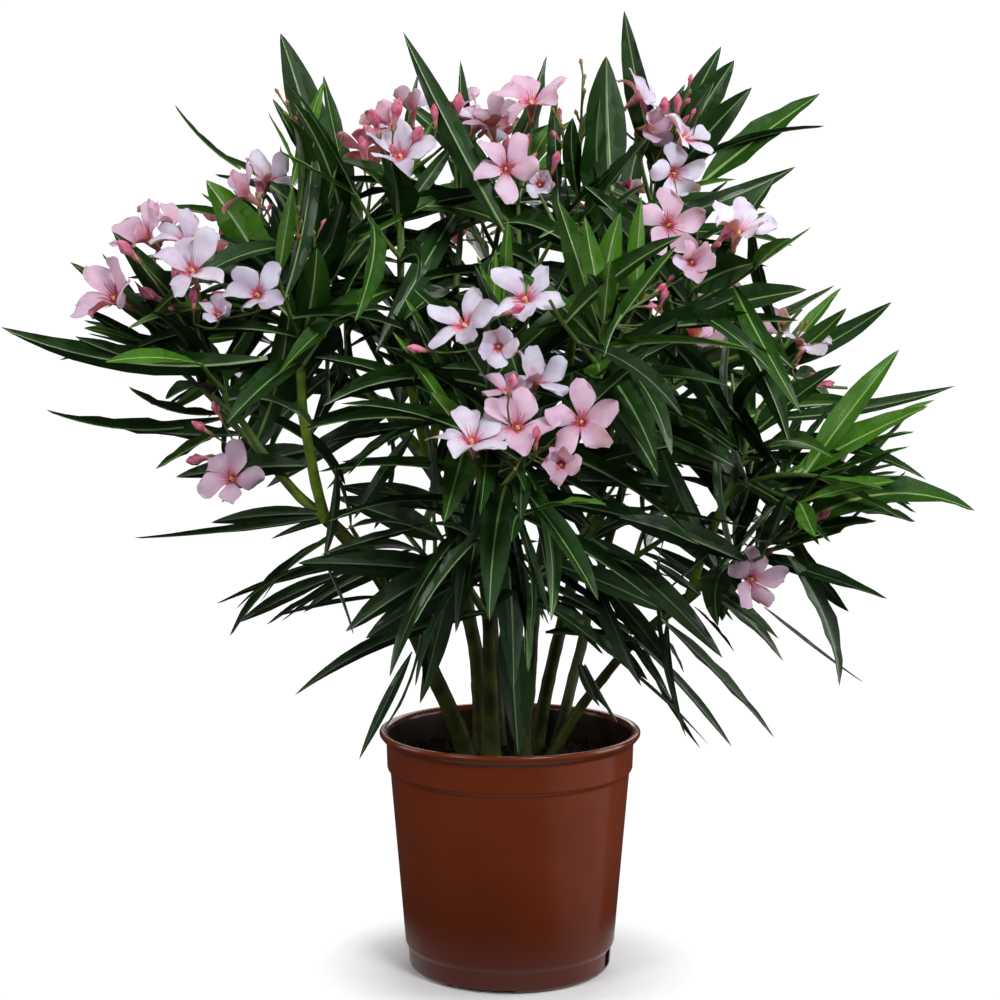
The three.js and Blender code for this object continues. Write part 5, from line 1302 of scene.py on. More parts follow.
for kind, finishes in leaf_finishes.items():
    group = [leaf for leaf in leaves if kind_of(leaf) == kind]
    places = [leaf["root"] * MM for leaf in group]
    roots = mesh_of(f"{kind} leaf roots", places)
    store(roots, "root", "FLOAT_VECTOR", places)
    store(roots, "lead", "FLOAT_VECTOR", [leaf["lead"] for leaf in group])
    store(roots, "toward", "FLOAT_VECTOR", [leaf["toward"] for leaf in group])
    measures = [(leaf["length"] * MM, leaf["width"] * MM, leaf["bend"]) for leaf in group]
    store(roots, "measure", "FLOAT_VECTOR", measures)
    store(roots, "roll", "FLOAT", [leaf["roll"] for leaf in group])
    store(roots, "twist", "FLOAT", [swing(leaf["seed"], 8, 0.75) for leaf in group])
    store(roots, "pick", "INT", [int(noise(leaf["seed"], 9) * 4) % 4 for leaf in group])
    settings = {"Patterns": leaf_shelf, **dict(zip(LEAF_FINISHES, finishes))}
    mesh = run_tree(f"leaves_{kind}", roots, leaf_tree, settings)
    grown_on = sorted({leaf["shoot"]["name"] for leaf in group})
    place_piece(f"leaves_{kind}", mesh, grown_on)

# %% [markdown]
# ## Flowers
# An oleander flower is a narrow tube that opens into five broad petals, set like the vanes of a pinwheel. A
# fringe of rose teeth stands round the throat, and the anthers meet in a twisted cone inside it. Young
# flowers are still cupped. Each kind is modelled once, and a node tree sets the kinds at the blooms of the
# plan.


# %% A form, and a sheet and a turned shape to build it from
class Form:
    """Points, faces, finish numbers and map places of a small shape, gathered part by part."""

    def __init__(self):
        self.points, self.faces, self.finish, self.places = [], [], [], []

    def add(self, points, faces, finish, places=None):
        """Takes in one more part."""
        first = len(self.points)
        self.points += [tuple(p) for p in points]
        self.faces += [tuple(first + i for i in face) for face in faces]
        self.finish += list(finish)
        self.places += places or [(0.5, 0.5)] * len(points)

    def mesh(self, name, sharp=50):
        """The whole form as a mesh, with edges over sharp degrees kept crisp."""
        mesh = mesh_of(name, self.points, self.faces)
        store(mesh, "finish", "INT", self.finish, "FACE")
        add_map(mesh, self.places)
        mesh.set_sharp_from_angle(angle=math.radians(sharp))
        return mesh


def add_sheet(form, at, rows, columns, thick, top_finish, back_finish):
    """A thin closed sheet whose top and back share their rim.

    at(t, s) gives the top, with t from 0 to 1 along it and s from -1 to 1 across it.
    """
    top = {(j, i): at(j / rows, 2 * i / columns - 1) for j in range(rows + 1) for i in range(columns + 1)}
    points, places, upper, lower = [], [], {}, {}
    for (j, i), p in top.items():
        upper[j, i] = len(points)
        points.append(p)
        places.append((i / columns, j / rows))
    for (j, i), p in top.items():
        lower[j, i] = upper[j, i]
        if 0 < j < rows and 0 < i < columns:
            lower[j, i] = len(points)
            points.append((p[0], p[1], p[2] - thick))
            places.append((i / columns, j / rows))
    faces, finish = [], []
    for j in range(rows):
        for i in range(columns):
            faces.append((upper[j, i], upper[j, i + 1], upper[j + 1, i + 1], upper[j + 1, i]))
            finish.append(top_finish(j / rows, i))
            faces.append((lower[j, i], lower[j + 1, i], lower[j + 1, i + 1], lower[j, i + 1]))
            finish.append(back_finish)
    form.add(points, faces, finish, places)


def lathe(profile, sides, place):
    """Points and faces of a turned shape whose profile (radius, height) starts and ends on the axis.

    place(r, angle, z) gives each point between the two ends.
    """
    points = [(0, 0, profile[0][1])]
    for r, z in profile[1:-1]:
        points += [place(r, 2 * math.pi * k / sides, z) for k in range(sides)]
    points.append((0, 0, profile[-1][1]))
    faces = []
    top = len(points) - 1 - sides
    for k in range(sides):
        n = (k + 1) % sides
        faces.append((0, 1 + n, 1 + k))
        for low in range(1, top, sides):
            faces.append((low + k, low + n, low + sides + n, low + sides + k))
        faces.append((top + k, top + n, len(points) - 1))
    return points, faces


def add_lathe(form, profile, sides, finish, twist=0, lobes=0, lobe_depth=0, foot=None, foot_bands=0):
    """A turned part, perhaps lobed and twisted. Its lowest foot_bands bands may have the finish foot."""
    def place(r, a, z):
        here = r * (1 + lobe_depth * math.cos(lobes * a))
        turned = a + twist * (z - profile[0][1])
        return here * math.cos(turned), here * math.sin(turned), z

    points, faces = lathe(profile, sides, place)
    bands = len(profile) - 1
    form.add(points, faces, [foot if band < foot_bands else finish for band in range(bands)] * sides)


def add_spike(form, foot, tip, width, finish):
    """A slim three-sided thread or sepal from foot to tip."""
    side, third = frame_round(unit(tip - foot), (0, 0, 1))
    ring = [foot + (side * math.cos(a) + third * math.sin(a)) * width for a in (0, 2.1, 4.2)]
    form.add([*ring, tip], [(0, 2, 1), (0, 1, 3), (1, 2, 3), (2, 0, 3)], [finish] * 4)


def ray_at(angle):
    """A direction out from the axis of a flower or bud."""
    return np.array((math.cos(angle), math.sin(angle), 0))


print("a form is built from sheets, turned parts and spikes")

# %% One petal
FLOWER_FINISHES = ("Petal face", "Petal back", "Throat", "Fringe", "Tube", "Sepal", "Cone")
FACE, BACK, THROAT_SKIN, FRINGE, TUBE, SEPAL, CONE = range(7)
THROAT = 3.2  # mm from the axis to the throat's wall
CLAW = 1.9  # half width of a petal where it leaves the throat
PETAL_ROWS, PETAL_COLUMNS, PETAL_STEPS = 10, 8, 32
PETAL_THICK = 0.3
FULL_WIDTH_AT, ROUNDING_FROM, ROUNDING = 0.68, 0.7, 0.36  # shares of the length


def add_petal(form, turn, length, half, funnel, rest, chance):
    """A petal leaves the throat steeply, opens to its own rest, and is wider on one side, like a vane."""
    rest_here = rest + swing(chance, 1, 0.5)
    twist = 0.25 + swing(chance, 2, 0.75)
    hollow = 0.12 + swing(chance, 3, 0.42)
    sweep = 0.22 + swing(chance, 4, 0.12)
    ripple = 1.7 + swing(chance, 5, 0.9)
    long = length * (1 + swing(chance, 6, 0.08))
    rise = []
    for k in range(PETAL_STEPS + 1):
        t = k / PETAL_STEPS
        rise.append(mix(funnel, rest_here, min(1, t * 2.1) ** 0.8) - 0.55 * max(0, t - 0.6))
    steps = np.array([(math.cos(e), math.sin(e)) for e in rise]) * long / PETAL_STEPS
    path = np.vstack([(0, 0), np.cumsum(steps, axis=0)])

    def at(t, s):
        notch = 0.022 * math.sin(7.5 * s + chance * 2.3) * (t > 0.85)
        reach = t * (1 - 0.13 * s * s + 0.07 * s) - notch if t > 0.6 else t
        place = min(PETAL_STEPS - 1e-6, reach * PETAL_STEPS)
        k = int(place)
        r, z = path[k] + (path[k + 1] - path[k]) * (place - k) + (THROAT * 0.75, -0.8)
        opening = math.sin(math.pi / 2 * min(1, t / FULL_WIDTH_AT)) ** 1.5
        width = CLAW + (half - CLAW) * opening
        width *= math.sqrt(max(0.0, 1 - (max(0, t - ROUNDING_FROM) / ROUNDING) ** 2))
        angle = turn + sweep * t * t
        ray, beside = ray_at(angle), np.array((-math.sin(angle), math.cos(angle), 0))
        e = rise[k]
        normal = ray * -math.sin(e) + np.array((0, 0, math.cos(e)))
        lean = twist * t
        out = beside * math.cos(lean) + normal * math.sin(lean)
        face = normal * math.cos(lean) - beside * math.sin(lean)
        ruffle = 0.55 * t**2 * s * s * math.sin(9 * t + 3 * s + chance * 3.1)
        wave = ripple * t**3 * math.sin(chance * 1.7 + 3.1 * s + 2 * t) * 0.8
        lift = hollow * s * s * width + wave + ruffle
        return ray * r + np.array((0, 0, z)) + out * s * width * (1 + 0.12 * s) + face * lift

    add_sheet(form, at, PETAL_ROWS, PETAL_COLUMNS, PETAL_THICK,
              lambda t, i: THROAT_SKIN if t < 0.1 else FACE, BACK)


print("a petal has", PETAL_ROWS, "rows of", PETAL_COLUMNS)

# %% One flower
TUBE_LENGTH = 16
TUBE_PROFILE = [
    (0, -TUBE_LENGTH), (1.0, -TUBE_LENGTH), (1.25, -12), (2.0, -8.5), (2.9, -4.5), (THROAT + 0.5, -0.6),
    (THROAT, 0), (THROAT - 0.6, -1.5), (2.2, -5), (0, -6.5)]
CONE_PROFILE = [(0, -6), (1.5, -5.5), (1.7, -2), (1.2, 1.6), (0, 3.8)]
THREADS = 5  # rose threads of the fringe before each petal
THREAD_LENGTHS = (8.0, 4.5)  # the least, and what chance adds
THREAD_WIDTH, SEPAL_WIDTH = 0.42, 0.9
OPEN_KINDS, CUPPED_KINDS = 8, 4
OPEN_RESTS = (0.1, 0.3, 0.2, 0.45)  # how far the petals of an open flower still stand up
FLOWER_KINDS = [  # petal length, half width, funnel, rest
    *[(25, 8.7, 1.05, OPEN_RESTS[i % 4]) for i in range(OPEN_KINDS)], *[(22, 9.0, 1.15, 0.8)] * CUPPED_KINDS]


def flower(name, number, length, half, funnel, rest):
    """Five petals with their fringe, on a tube with the anther cone and five sepals."""
    form = Form()
    for petal in range(5):
        chance = number * 5 + petal + 1
        turn = 2 * math.pi * petal / 5 + swing(chance, 7, 0.1)
        add_petal(form, turn, length, half, funnel, rest, chance)
        for thread in range(THREADS):
            out = ray_at(turn + (thread - 2) * 0.22 + swing(chance, thread + 20, 0.08))
            long = THREAD_LENGTHS[0] + THREAD_LENGTHS[1] * noise(chance, thread)
            foot = out * (THROAT - 0.7) + np.array((0, 0, 0.4))
            tip = foot + out * long * 0.72 + np.array((0, 0, long * (0.5 + 0.35 * rest)))
            add_spike(form, foot, tip, THREAD_WIDTH, FRINGE)
    add_lathe(form, TUBE_PROFILE, 10, TUBE)
    add_lathe(form, CONE_PROFILE, 8, CONE, twist=0.35, lobes=4, lobe_depth=0.2)
    for k in range(5):
        ray = ray_at(2 * math.pi * (k + 0.5) / 5)
        foot, tip = ray * 1.1 + (0, 0, -TUBE_LENGTH - 0.2), ray * 2.4 + (0, 0, -TUBE_LENGTH + 5)
        add_spike(form, foot, tip, SEPAL_WIDTH, SEPAL)
    return form.mesh(name)


flower_shelf = shelf("flower", [flower(f"flower {i}", i, *kind) for i, kind in enumerate(FLOWER_KINDS)])
print(len(FLOWER_KINDS), "kinds of flower")

# %% [markdown]
# One kind of node tree sets all the patterns that are turned and sized as a whole. Flowers and buds each
# get a tree of that kind, because their finishes differ. Each point states its own turn, stretch and
# pattern.

# %% The tree that sets pieces at points
def setting_tree(name, labels):
    """Sets patterns at points, each turned and stretched by the point's own attributes."""
    tree, given, wanted = new_group(name, [
        ("Places", "in", GEOMETRY), ("Patterns", "in", SHELF),
        *[(label, "in", FINISH) for label in labels],
        ("Pieces", "out", GEOMETRY)], "GeometryNodeTree")
    turned = add_node(tree, "FunctionNodeEulerToRotation", {0: read(tree, "turn", "FLOAT_VECTOR")}).outputs[0]
    real = dealt_from_shelf(tree, given["Places"], given["Patterns"], read(tree, "pick", "INT"),
                            Rotation=turned, Scale=read(tree, "stretch", "FLOAT_VECTOR"))
    tree.links.new(set_finishes(tree, real, given, labels), wanted["Pieces"])
    return tree


def places_mesh(name, rows):
    """A mesh of points, from rows of (place in mm, Euler turn, stretch, pick)."""
    mesh = mesh_of(name, [np.array(row[0]) * MM for row in rows])
    store(mesh, "turn", "FLOAT_VECTOR", [tuple(row[1]) for row in rows])
    store(mesh, "stretch", "FLOAT_VECTOR", [tuple(np.array(row[2]) * MM) for row in rows])
    store(mesh, "pick", "INT", [row[3] for row in rows])
    return mesh


def turn_to(face, spin):
    """The Euler turn that points a pattern's z along face."""
    z = unit(face)
    x, y = frame_round(z, (1, 0.1, 0))
    turned = Matrix((x, y, z)).transposed() @ Matrix.Rotation(spin, 3, "Z")
    return turned.to_euler()


flower_tree = setting_tree("flowers at their places", FLOWER_FINISHES)
print(len(flower_tree.nodes), "nodes")


# %% Stalks
def face_of(turn, tilt):
    """The direction that a flower faces, turned to the right of the front and tilted up, in degrees."""
    a, e = math.radians(turn), math.radians(tilt)
    return np.array((math.sin(a) * math.cos(e), -math.cos(a) * math.cos(e), math.sin(e)))


stalk_lines = []


def add_stalk(curve, foot_girth, tip_girth, count):
    """One more thin stalk, measured at count points."""
    stalk_lines.append([(curve.point(u), mix(foot_girth, tip_girth, u)) for u in np.linspace(0, 1, count)])


def stalk_to(root, end, out, sunk):
    """A stalk's curve from root that enters the foot of a flower or bud along out."""
    return Bend(root, end - out * np.linalg.norm(end - root) * 0.4, end + out * sunk)


print("the front is", face_of(0, 0))

# %% Flowers at their places
HEAD_STALK = (1.5, 1.15, 8)  # girths at foot and tip, and points
FLOWER_STALK = (1.0, 0.85, 7)
FACE_SWING, TILT_SWING, TILT_UP = 22, 20, 21  # degrees
CUPPED_UNDER = 0.92  # a smaller bloom is a young one, and cupped

flower_rows = {tint: [] for tint in petal_finishes}
for shoot in shoots:
    plan, curve = shoot["plan"], shoot["curve"]
    if not plan.get("blooms"):
        continue
    stem = curve.point(plan.get("cyme", 1) - 0.02)
    centre = np.mean([b[:3] for b in plan["blooms"]], axis=0)
    head = curve.point(plan.get("cyme", 1)) * 0.6 + centre * 0.4
    shoot["head"] = head
    main = Bend(stem, mix(stem, head, 0.5), head)
    add_stalk(main, *HEAD_STALK)
    for i, (x, y, z, turn, tilt, size) in enumerate(plan["blooms"]):
        seed = shoot["seed"] * 10 + i
        face = face_of(turn + swing(seed, 5, FACE_SWING), tilt + TILT_UP + swing(seed, 6, TILT_SWING))
        middle = np.array((x, y, z), float) - face * 4
        cupped = OPEN_KINDS + int(noise(seed, 1) * CUPPED_KINDS)
        kind = cupped if size < CUPPED_UNDER else int(noise(seed, 2) * OPEN_KINDS)
        tint = "lilac" if noise(seed, 4) < 0.5 else "pink"
        flower_rows[tint].append((middle, turn_to(face, noise(seed, 3) * 6.28), (size,) * 3, kind))
        back = middle - face * TUBE_LENGTH * size
        root = main.point(0.3 + 0.65 * (i + 0.5) / len(plan["blooms"]))
        add_stalk(stalk_to(root, back, face, 0.8), *FLOWER_STALK)
flowering = [shoot["name"] for shoot in shoots if "head" in shoot]
small_parts = ("petal throat", "throat fringe", "flower tube", "sepal", "anther cone")
for tint, rows in flower_rows.items():
    finishes = (*petal_finishes[tint], *[small_finishes[part] for part in small_parts])
    flower_mesh = run_tree(f"flowers_{tint}", places_mesh("flower places", rows), flower_tree, {
        "Patterns": flower_shelf, **dict(zip(FLOWER_FINISHES, finishes))})
    place_piece(f"flowers_{tint}", flower_mesh, flowering)

# %% [markdown]
# Buds stand among the open flowers, and some shoots carry only a spray of them. A bud is a spindle of
# petals that are rolled round each other, so its turned shape is lobed and twisted, with five small sepals
# at its foot.

# %% Bud patterns
BUD_FINISHES = ("Bud", "Young bud", "Sepal", "Tube")
BUD_SKIN, YOUNG_SKIN, BUD_SEPAL, BUD_TUBE = range(4)
BUD_PROFILE = [  # shares of the girth and the length
    (0, 0), (0.34, 0.02), (0.42, 0.2), (0.5, 0.36), (0.82, 0.52), (1.0, 0.64), (0.8, 0.79), (0.36, 0.93),
    (0, 1)]
BUD_KINDS = (  # name, length, girth, ripe
    ("opening bud", 25, 4.3, True), ("ripe bud", 19, 3.1, True), ("small bud", 11, 2.0, True),
    ("green bud", 8, 1.5, False))
OPENING, RIPE, SMALL, UNRIPE = range(4)


def bud(name, long, girth, ripe):
    """A spindle of rolled petals on a narrow tube, with five small sepals at its foot."""
    form = Form()
    skin, tube = (BUD_SKIN, BUD_TUBE) if ripe else (YOUNG_SKIN, YOUNG_SKIN)
    add_lathe(form, [(r * girth, z * long) for r, z in BUD_PROFILE], 12, skin, twist=2.6 / long, lobes=5,
              lobe_depth=0.13, foot=tube, foot_bands=3)
    sepals = min(5.0, long * 0.45)
    for k in range(5):
        ray = ray_at(2 * math.pi * k / 5)
        foot, tip = ray * girth * 0.28 + (0, 0, -0.2), ray * girth * 0.62 + (0, 0, sepals)
        add_spike(form, foot, tip, 0.7, BUD_SEPAL)
    return form.mesh(name)


bud_shelf = shelf("bud", [bud(*kind) for kind in BUD_KINDS])
print(len(BUD_KINDS), "kinds of bud")

# %% Plan of the single buds and sprays
SINGLE_BUDS = [  # (shoot, x, y, z, turn right, tilt up, kind)
    ("mid_left", -94, -56, 630, -20, 50, OPENING), ("mid_left", -84, -62, 634, 25, 65, OPENING),
    ("mid_left", -40, -40, 640, 15, 60, OPENING), ("mid_left", -54, -46, 636, -10, 70, RIPE),
    ("front_high", -54, -150, 480, -70, 10, RIPE), ("front_high", -6, -178, 506, 60, 20, RIPE),
    ("front_low", -2, -196, 452, 20, 60, RIPE), ("front_low", 16, -196, 416, 10, 70, RIPE),
    ("inner_front", 104, -112, 508, 25, 60, RIPE), ("inner_front", 98, -112, 504, 0, 70, SMALL),
    ("right_top", 124, 0, 646, 0, 75, RIPE), ("right_top", 134, 4, 644, 40, 60, SMALL),
    ("right_mid", 226, 0, 446, 80, 12, RIPE), ("right_mid", 220, -4, 452, 60, 30, SMALL),
    ("west_low", -222, -112, 506, 0, 70, RIPE), ("west_low", -262, -90, 540, -50, 40, OPENING),
    ("east_low", 216, -96, 356, 40, 30, RIPE), ("centre_top", 30, -40, 604, 30, 60, RIPE),
]
SPRAYS = [  # (shoot, tip of the spray's stalk, buds, kinds)
    ("west_top", (-168, 18, 656), 7, (UNRIPE,)), ("west_top", (-152, 14, 640), 5, (UNRIPE,)),
    ("west_up", (-153, -72, 572), 10, (SMALL, UNRIPE, UNRIPE)),
    ("west_up", (-140, -70, 556), 6, (UNRIPE, SMALL)),
    ("centre_right", (53, -22, 676), 5, (UNRIPE,)), ("centre_right", (34, -30, 648), 6, (UNRIPE, SMALL)),
    ("inner_front", (110, -112, 524), 6, (SMALL, UNRIPE)), ("right_top", (132, 10, 664), 5, (SMALL, UNRIPE)),
    ("east", (206, -60, 470), 5, (UNRIPE, SMALL)), ("north_top", (4, 120, 650), 6, (UNRIPE, SMALL)),
]
print(len(SINGLE_BUDS), "single buds and", len(SPRAYS), "sprays")

# %% Buds at their places
HEAD_BUDS = 5
HEAD_BUD_REACH = (12, 26)  # mm from the middle of the head
SPRAY_STALK = (1.6, 0.8, 10)  # girths at foot and tip, and points
BUD_STALK = (0.75, 0.75, 6)
SPRAY_REACH = (4, 8)

bud_rows = []


def add_bud(root, base, out, spin, kind):
    """A bud at base, pointing out, on a fine stalk from root."""
    bud_rows.append((base, turn_to(out, spin), (1, 1, 1), kind))
    add_stalk(stalk_to(root, base, out, 0.5), *BUD_STALK)


for shoot in shoots:
    head = shoot.get("head")
    if head is None:
        continue
    up = shoot["curve"].along(1)
    east, north = frame_round(up)
    for k in range(HEAD_BUDS):
        a = k * TURN + shoot["seed"] * 7
        steepness = 0.7 + 0.6 * noise(shoot["seed"], k)
        out = unit(up * steepness + (east * math.cos(a) + north * math.sin(a)) * 0.75)
        base = head + out * mix(*HEAD_BUD_REACH, noise(shoot["seed"], k + 20))
        add_bud(head, base, out, k, int(noise(shoot["seed"], k + 40) * 4) % 4)

by_name = {shoot["name"]: shoot for shoot in shoots}
for name, x, y, z, turn, tilt, kind in SINGLE_BUDS:
    shoot = by_name[name]
    root = shoot.get("head", shoot["curve"].point(1))
    add_bud(root, np.array((x, y, z), float), face_of(turn, tilt), x, kind)
for number, (name, tip, count, kinds) in enumerate(SPRAYS):
    foot = by_name[name]["curve"].point(0.98)
    tip = np.array(tip, float)
    spray = Bend(foot, mix(foot, tip, 0.5) + (0, -4, 0), tip)
    add_stalk(spray, *SPRAY_STALK)
    for k in range(count):
        at = mix(0.45, 1, k / (count - 1))
        up = spray.along(at)
        east, north = frame_round(up)
        round_it = east * math.cos(k * TURN) + north * math.sin(k * TURN)
        out = unit(up * 0.9 + round_it * 0.6 * (1.3 - at))
        root = spray.point(at)
        add_bud(root, root + out * mix(*SPRAY_REACH, noise(number, k)), out, k, kinds[k % len(kinds)])
bud_tree = setting_tree("buds at their places", BUD_FINISHES)
bud_parts = [small_finishes[part] for part in ("flower bud", "young bud", "sepal", "flower tube")]
bud_mesh = run_tree("buds", places_mesh("bud places", bud_rows), bud_tree, {
    "Patterns": bud_shelf, **dict(zip(BUD_FINISHES, bud_parts))})
place_piece("buds", bud_mesh, flowering)

# %% Twigs and stalks
twig_mesh = run_tree("twigs", line_mesh("twig lines", twig_lines), limb_tree, {
    "Sides": 10, "Furrow depth": 0.0003, "Furrows per metre": 400.0, "Bark": bark_twig})
place_piece("twigs", twig_mesh, [shoot["name"] for shoot in shoots])
stalk_mesh = run_tree("flower_stalks", line_mesh("stalk lines", stalk_lines), limb_tree, {
    "Sides": 7, "Furrow depth": 0.0001, "Furrows per metre": 400.0, "Bark": stalk_finish})
place_piece("flower_stalks", stalk_mesh, flowering)

# %% [markdown]
# ## Pot
# A nursery pot is blown or moulded from thin plastic: a rolled lip, a band under it, a long slightly sloped
# wall, and a step where the wall draws in to the foot. It could be spun from a modifier. Here its outline
# is turned by code in many fine steps, with its corners rounded first, so that the walls are smooth and
# closed.

# %% Outline of the pot
POT = dict(height=185, rim=100, lip=9, collar=94.5, collar_drop=29, shoulder=91.5, heel=80.4, heel_height=20,
           foot=77.4, chamfer=4, wall=2.2, base=4)
FOOT_RING = 10  # width of the ring that the pot stands on
DRAIN = dict(gaps=4, first=-1.87, width=52, rise=3.2, pad=44, slot_width=13, slot_low=5, slot_high=19)
POT_SIDES = 160


def rounded(corners, steps=4):
    """The corners of an outline, each (r, z, radius), with each corner drawn round by steps points."""
    line = []
    for i, (r, z, radius) in enumerate(corners):
        p = np.array((r, z), float)
        if radius == 0 or i in (0, len(corners) - 1):
            line.append(p)
            continue
        before = np.array(corners[i - 1][:2], float) - p
        after = np.array(corners[i + 1][:2], float) - p
        cut = min(radius, np.linalg.norm(before) * 0.48, np.linalg.norm(after) * 0.48)
        a, b = p + unit(before) * cut, p + unit(after) * cut
        line += [a * (1 - u) ** 2 + p * 2 * u * (1 - u) + b * u * u for u in np.linspace(0, 1, steps)]
    return line


h, rim, lip, collar, drop, shoulder, heel, heel_height, foot, chamfer, wall, base = POT.values()
pad, rise = DRAIN["pad"], DRAIN["rise"]
under_lip, under_collar, inner_floor = h - lip, h - drop, base + wall
pot_outline = rounded([
    # underside and foot
    (0, 0, 0), (pad, 0, 0.6), (pad, rise, 0.6), (foot - FOOT_RING, rise, 0.6), (foot - FOOT_RING, 0, 0.8),
    (foot - chamfer, 0, 2), (foot, chamfer * 0.8, 2), (foot + 1, heel_height - 3, 1.6),
    # outside wall, band and lip
    (heel, heel_height, 1.6), (shoulder, under_collar - 3, 1.4), (collar - 0.6, under_collar, 1.4),
    (collar, under_lip, 1), (rim - 2.2, under_lip + 3, 1.5), (rim, h - 3, 1.8), (rim - 0.5, h - 0.7, 1),
    (rim - 1.6, h, 1), (collar + 0.6, h - 0.3, 1.5),
    # inside wall and floor
    (collar - wall + 0.6, h - 2.4, 2), (collar - wall - 0.2, under_lip, 3),
    (collar - wall - 1, under_collar, 2),
    (shoulder - wall, under_collar - 4, 2), (heel - wall, heel_height, 2), (foot - wall, inner_floor, 1.5),
    (0, inner_floor, 0),
])
print(len(pot_outline), "points in the pot's outline")


# %% Turn the outline and cut the drains
def turned_mesh(name, outline, sides, lift=None):
    """A closed turned mesh. lift(r, angle, z) may move a point up or down."""
    points, faces = lathe(outline, sides, lambda r, a, z: (
        r * math.cos(a), r * math.sin(a), z + (lift(r, a, z) if lift else 0)))
    return mesh_of(name, [[size * MM for size in p] for p in points], faces)


def block(name, centre, size, turn):
    """A plain box that is cut out of the pot and then goes away."""
    corners = [Vector((centre[0] + x * size[0] / 2, centre[1] + y * size[1] / 2, centre[2] + z * size[2] / 2))
               for x in (-1, 1) for y in (-1, 1) for z in (-1, 1)]
    turned = [Matrix.Rotation(turn, 3, "Z") @ (corner * MM) for corner in corners]
    faces = [(0, 1, 3, 2), (4, 6, 7, 5), (0, 4, 5, 1), (2, 3, 7, 6), (0, 2, 6, 4), (1, 5, 7, 3)]
    return mesh_of(name, turned, faces, smooth=False)


def cut_from(piece, cut_mesh):
    """Takes a block out of a piece and keeps the result as its plain mesh."""
    cutter = add_object("cutter", cut_mesh)
    boolean = piece.modifiers.new("cut", "BOOLEAN")
    boolean.object = cutter
    boolean.operation = "DIFFERENCE"
    boolean.solver = "EXACT"
    piece.data = result_of(piece)
    piece.modifiers.clear()
    bpy.data.objects.remove(cutter)


pot = add_object("nursery_pot", turned_mesh("nursery_pot", pot_outline, POT_SIDES))
slot_middle = (DRAIN["slot_low"] + DRAIN["slot_high"]) / 2
slot_height = DRAIN["slot_high"] - DRAIN["slot_low"]
for k in range(DRAIN["gaps"]):
    turn = DRAIN["first"] + k / DRAIN["gaps"] * 2 * math.pi
    cut_from(pot, block("gap", (foot, 0, 0), (40, DRAIN["width"], rise * 2), turn))
    if k % 2:
        cut_from(pot, block("slot", (foot, 0, slot_middle), (12, DRAIN["slot_width"], slot_height), turn))
pot_mesh = pot.data
pot_mesh.name = "nursery_pot"
bpy.data.objects.remove(pot)
print("the pot has", DRAIN["gaps"], "gaps under its foot ring")

# %% Give the pot its two finishes
INSIDE_TOP = h - 4  # the painted shade inside ends below the lip
pot_mesh.materials.clear()
pot_mesh.materials.append(pot_plastic)
pot_mesh.materials.append(pot_inside_painted_shade)
# Painted shade: the faces that look into the pot, below the lip, take the nearly black finish.
for face in pot_mesh.polygons:
    looks_in = face.normal.x * face.center.x + face.normal.y * face.center.y < 0
    if looks_in and base * MM < face.center.z < INSIDE_TOP * MM:
        face.material_index = 1
pot_mesh.polygons.foreach_set("use_smooth", [True] * len(pot_mesh.polygons))
pot_mesh.set_sharp_from_angle(angle=math.radians(35))
place_piece("nursery_pot", pot_mesh, ["pot"])

# %% [markdown]
# ## Soil
# Peat settles into a lumpy surface with crumbs and bits of bark on it. The mass is turned with a bumpy top.
# A node tree scatters crumbs over that top, and because only the top may take them, it picks the faces that
# look up.

# %% The peat
GAP = 0.3  # mm between the peat and the pot
SOIL_RINGS, SOIL_SIDES = 26, 110
SOIL_DIP = 0.8  # mm that the top lies lower than its level, so that no bump stands over the solid
EDGE_CALM = 8  # mm at the pot's wall over which the bumps fade away

inset = wall + GAP + 0.5
slope = (SOIL_TOP - heel_height) / (under_collar - 4 - heel_height)
soil_edge = min(mix(heel, shoulder, slope), collar - 1) - inset
soil_outline = [
    (0, inner_floor + GAP), (foot - inset - 4, inner_floor + GAP), (heel - inset - 1, heel_height),
    (shoulder - inset - 0.6, under_collar - 5), (soil_edge, SOIL_TOP - 1.5)]
soil_outline += [(soil_edge * (1 - j / SOIL_RINGS), SOIL_TOP) for j in range(SOIL_RINGS + 1)]


def bumps(x, y):
    """The peat's height over its level, in mm."""
    swell = math.sin(x * 0.09 + 1) * math.cos(y * 0.11) * 1.6
    return swell + math.sin(x * 0.31 + y * 0.23) * 0.7 + math.sin(x * 0.6 - y * 0.55 + 2) * 0.45


def soil_lift(r, a, z):
    """Bumps on the top only, which fade away at the wall."""
    if z < SOIL_TOP - 0.1:
        return 0
    return bumps(r * math.cos(a), r * math.sin(a)) * min(1, (soil_edge - r) / EDGE_CALM) - SOIL_DIP


soil_mesh = turned_mesh("peat", soil_outline, SOIL_SIDES, soil_lift)
soil_mesh.materials.append(peat)
place_piece("peat", soil_mesh, ["soil"])

# %% [markdown]
# The crumbs are strewn by a node tree, because they lie on a surface by chance. Each is a small rough lump,
# turned any way. The seeds are fixed, so the same crumbs lie in the same places every time.

# %% Crumbs scattered on the peat
CRUMBS = {"Crumbs per square metre": 90000.0, "Smallest": 0.0012, "Largest": 0.0046}
CRUMB_PROFILE = [(0, -0.5), (0.42, -0.36), (0.55, 0), (0.38, 0.36), (0, 0.5)]
FACES_UP = 0.7


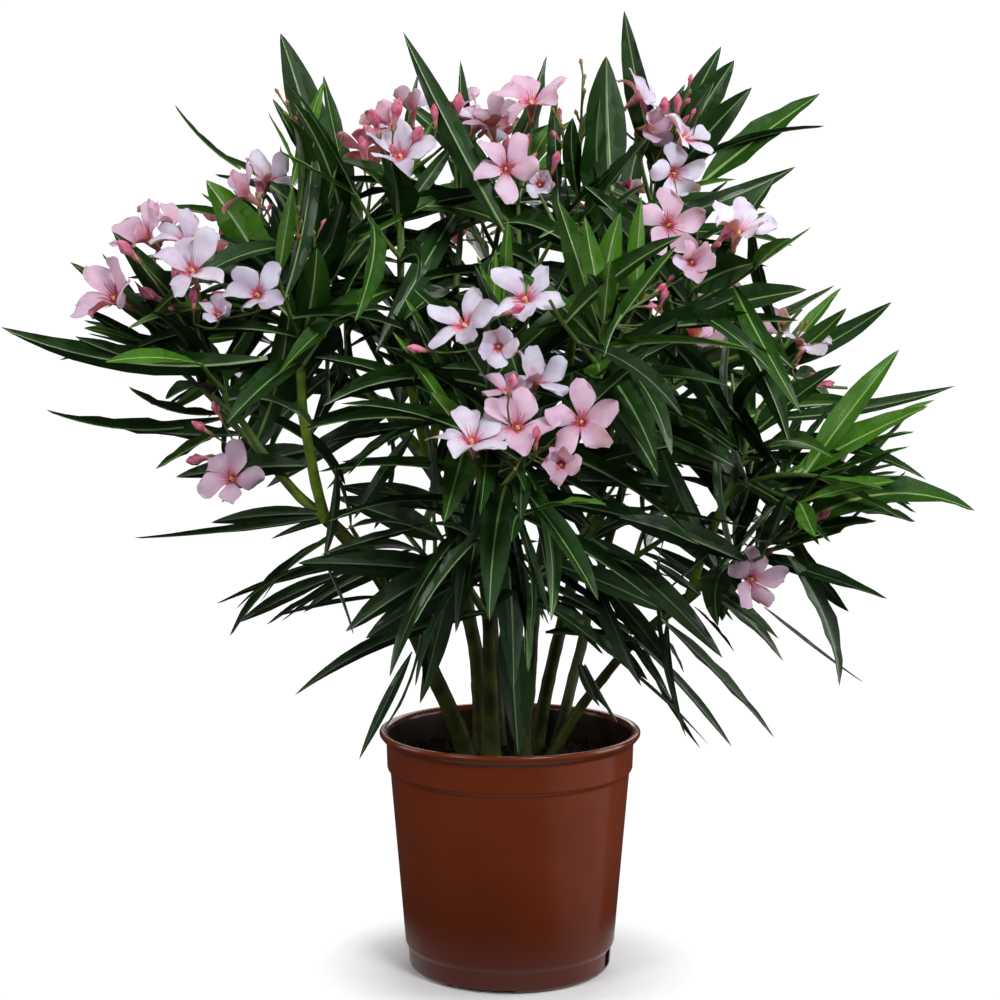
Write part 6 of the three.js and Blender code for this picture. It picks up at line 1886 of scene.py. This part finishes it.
def crumb(name, seed, long):
    """A small rough lump."""
    form = Form()
    add_lathe(form, CRUMB_PROFILE, 6, 0)
    form.points = [
        [size * (1 + swing(seed, i + 30 * way, 0.3)) for way, size in enumerate((x * long, y, z))]
        for i, (x, y, z) in enumerate(form.points)]
    return form.mesh(name, sharp=30)


crumb_shelf = shelf("crumb", [crumb("crumb", 1, 1.0), crumb("lump", 2, 1.3), crumb("bark chip", 3, 2.4)])
crumb_tree, given, wanted = new_group("crumbs over a surface", [
    ("Surface", "in", GEOMETRY), ("Patterns", "in", SHELF),
    ("Crumbs per square metre", "in", NUMBER), ("Smallest", "in", NUMBER), ("Largest", "in", NUMBER),
    ("Crumb", "in", FINISH), ("Crumbs", "out", GEOMETRY)], "GeometryNodeTree")
normal = add_node(crumb_tree, "GeometryNodeInputNormal").outputs[0]
up = parts_of(crumb_tree, normal)["Z"]
on_top = add_node(crumb_tree, "FunctionNodeCompare", {0: up, 1: FACES_UP}, operation="GREATER_THAN")
strewn = add_node(crumb_tree, "GeometryNodeDistributePointsOnFaces", {
    "Mesh": given["Surface"], "Selection": on_top.outputs[0], "Density": given["Crumbs per square metre"],
    "Seed": 11})
sizes = add_node(crumb_tree, "FunctionNodeRandomValue", {
    2: given["Smallest"], 3: given["Largest"], "Seed": 5}, data_type="FLOAT").outputs[1]
turns = add_node(crumb_tree, "FunctionNodeRandomValue", {
    0: (0, 0, 0), 1: (6.28, 6.28, 6.28), "Seed": 6}, data_type="FLOAT_VECTOR").outputs[0]
turned = add_node(crumb_tree, "FunctionNodeEulerToRotation", {0: turns}).outputs[0]
real = dealt_from_shelf(crumb_tree, strewn.outputs[0], given["Patterns"], Rotation=turned, Scale=sizes)
done = add_node(crumb_tree, "GeometryNodeSetMaterial", {0: real, "Material": given["Crumb"]})
crumb_tree.links.new(done.outputs[0], wanted["Crumbs"])
crumbs = run_tree("peat_crumbs", soil_mesh.copy(), crumb_tree, {
    "Patterns": crumb_shelf, "Crumb": crumb_finish, **CRUMBS})
place_piece("peat_crumbs", crumbs, ["soil"])
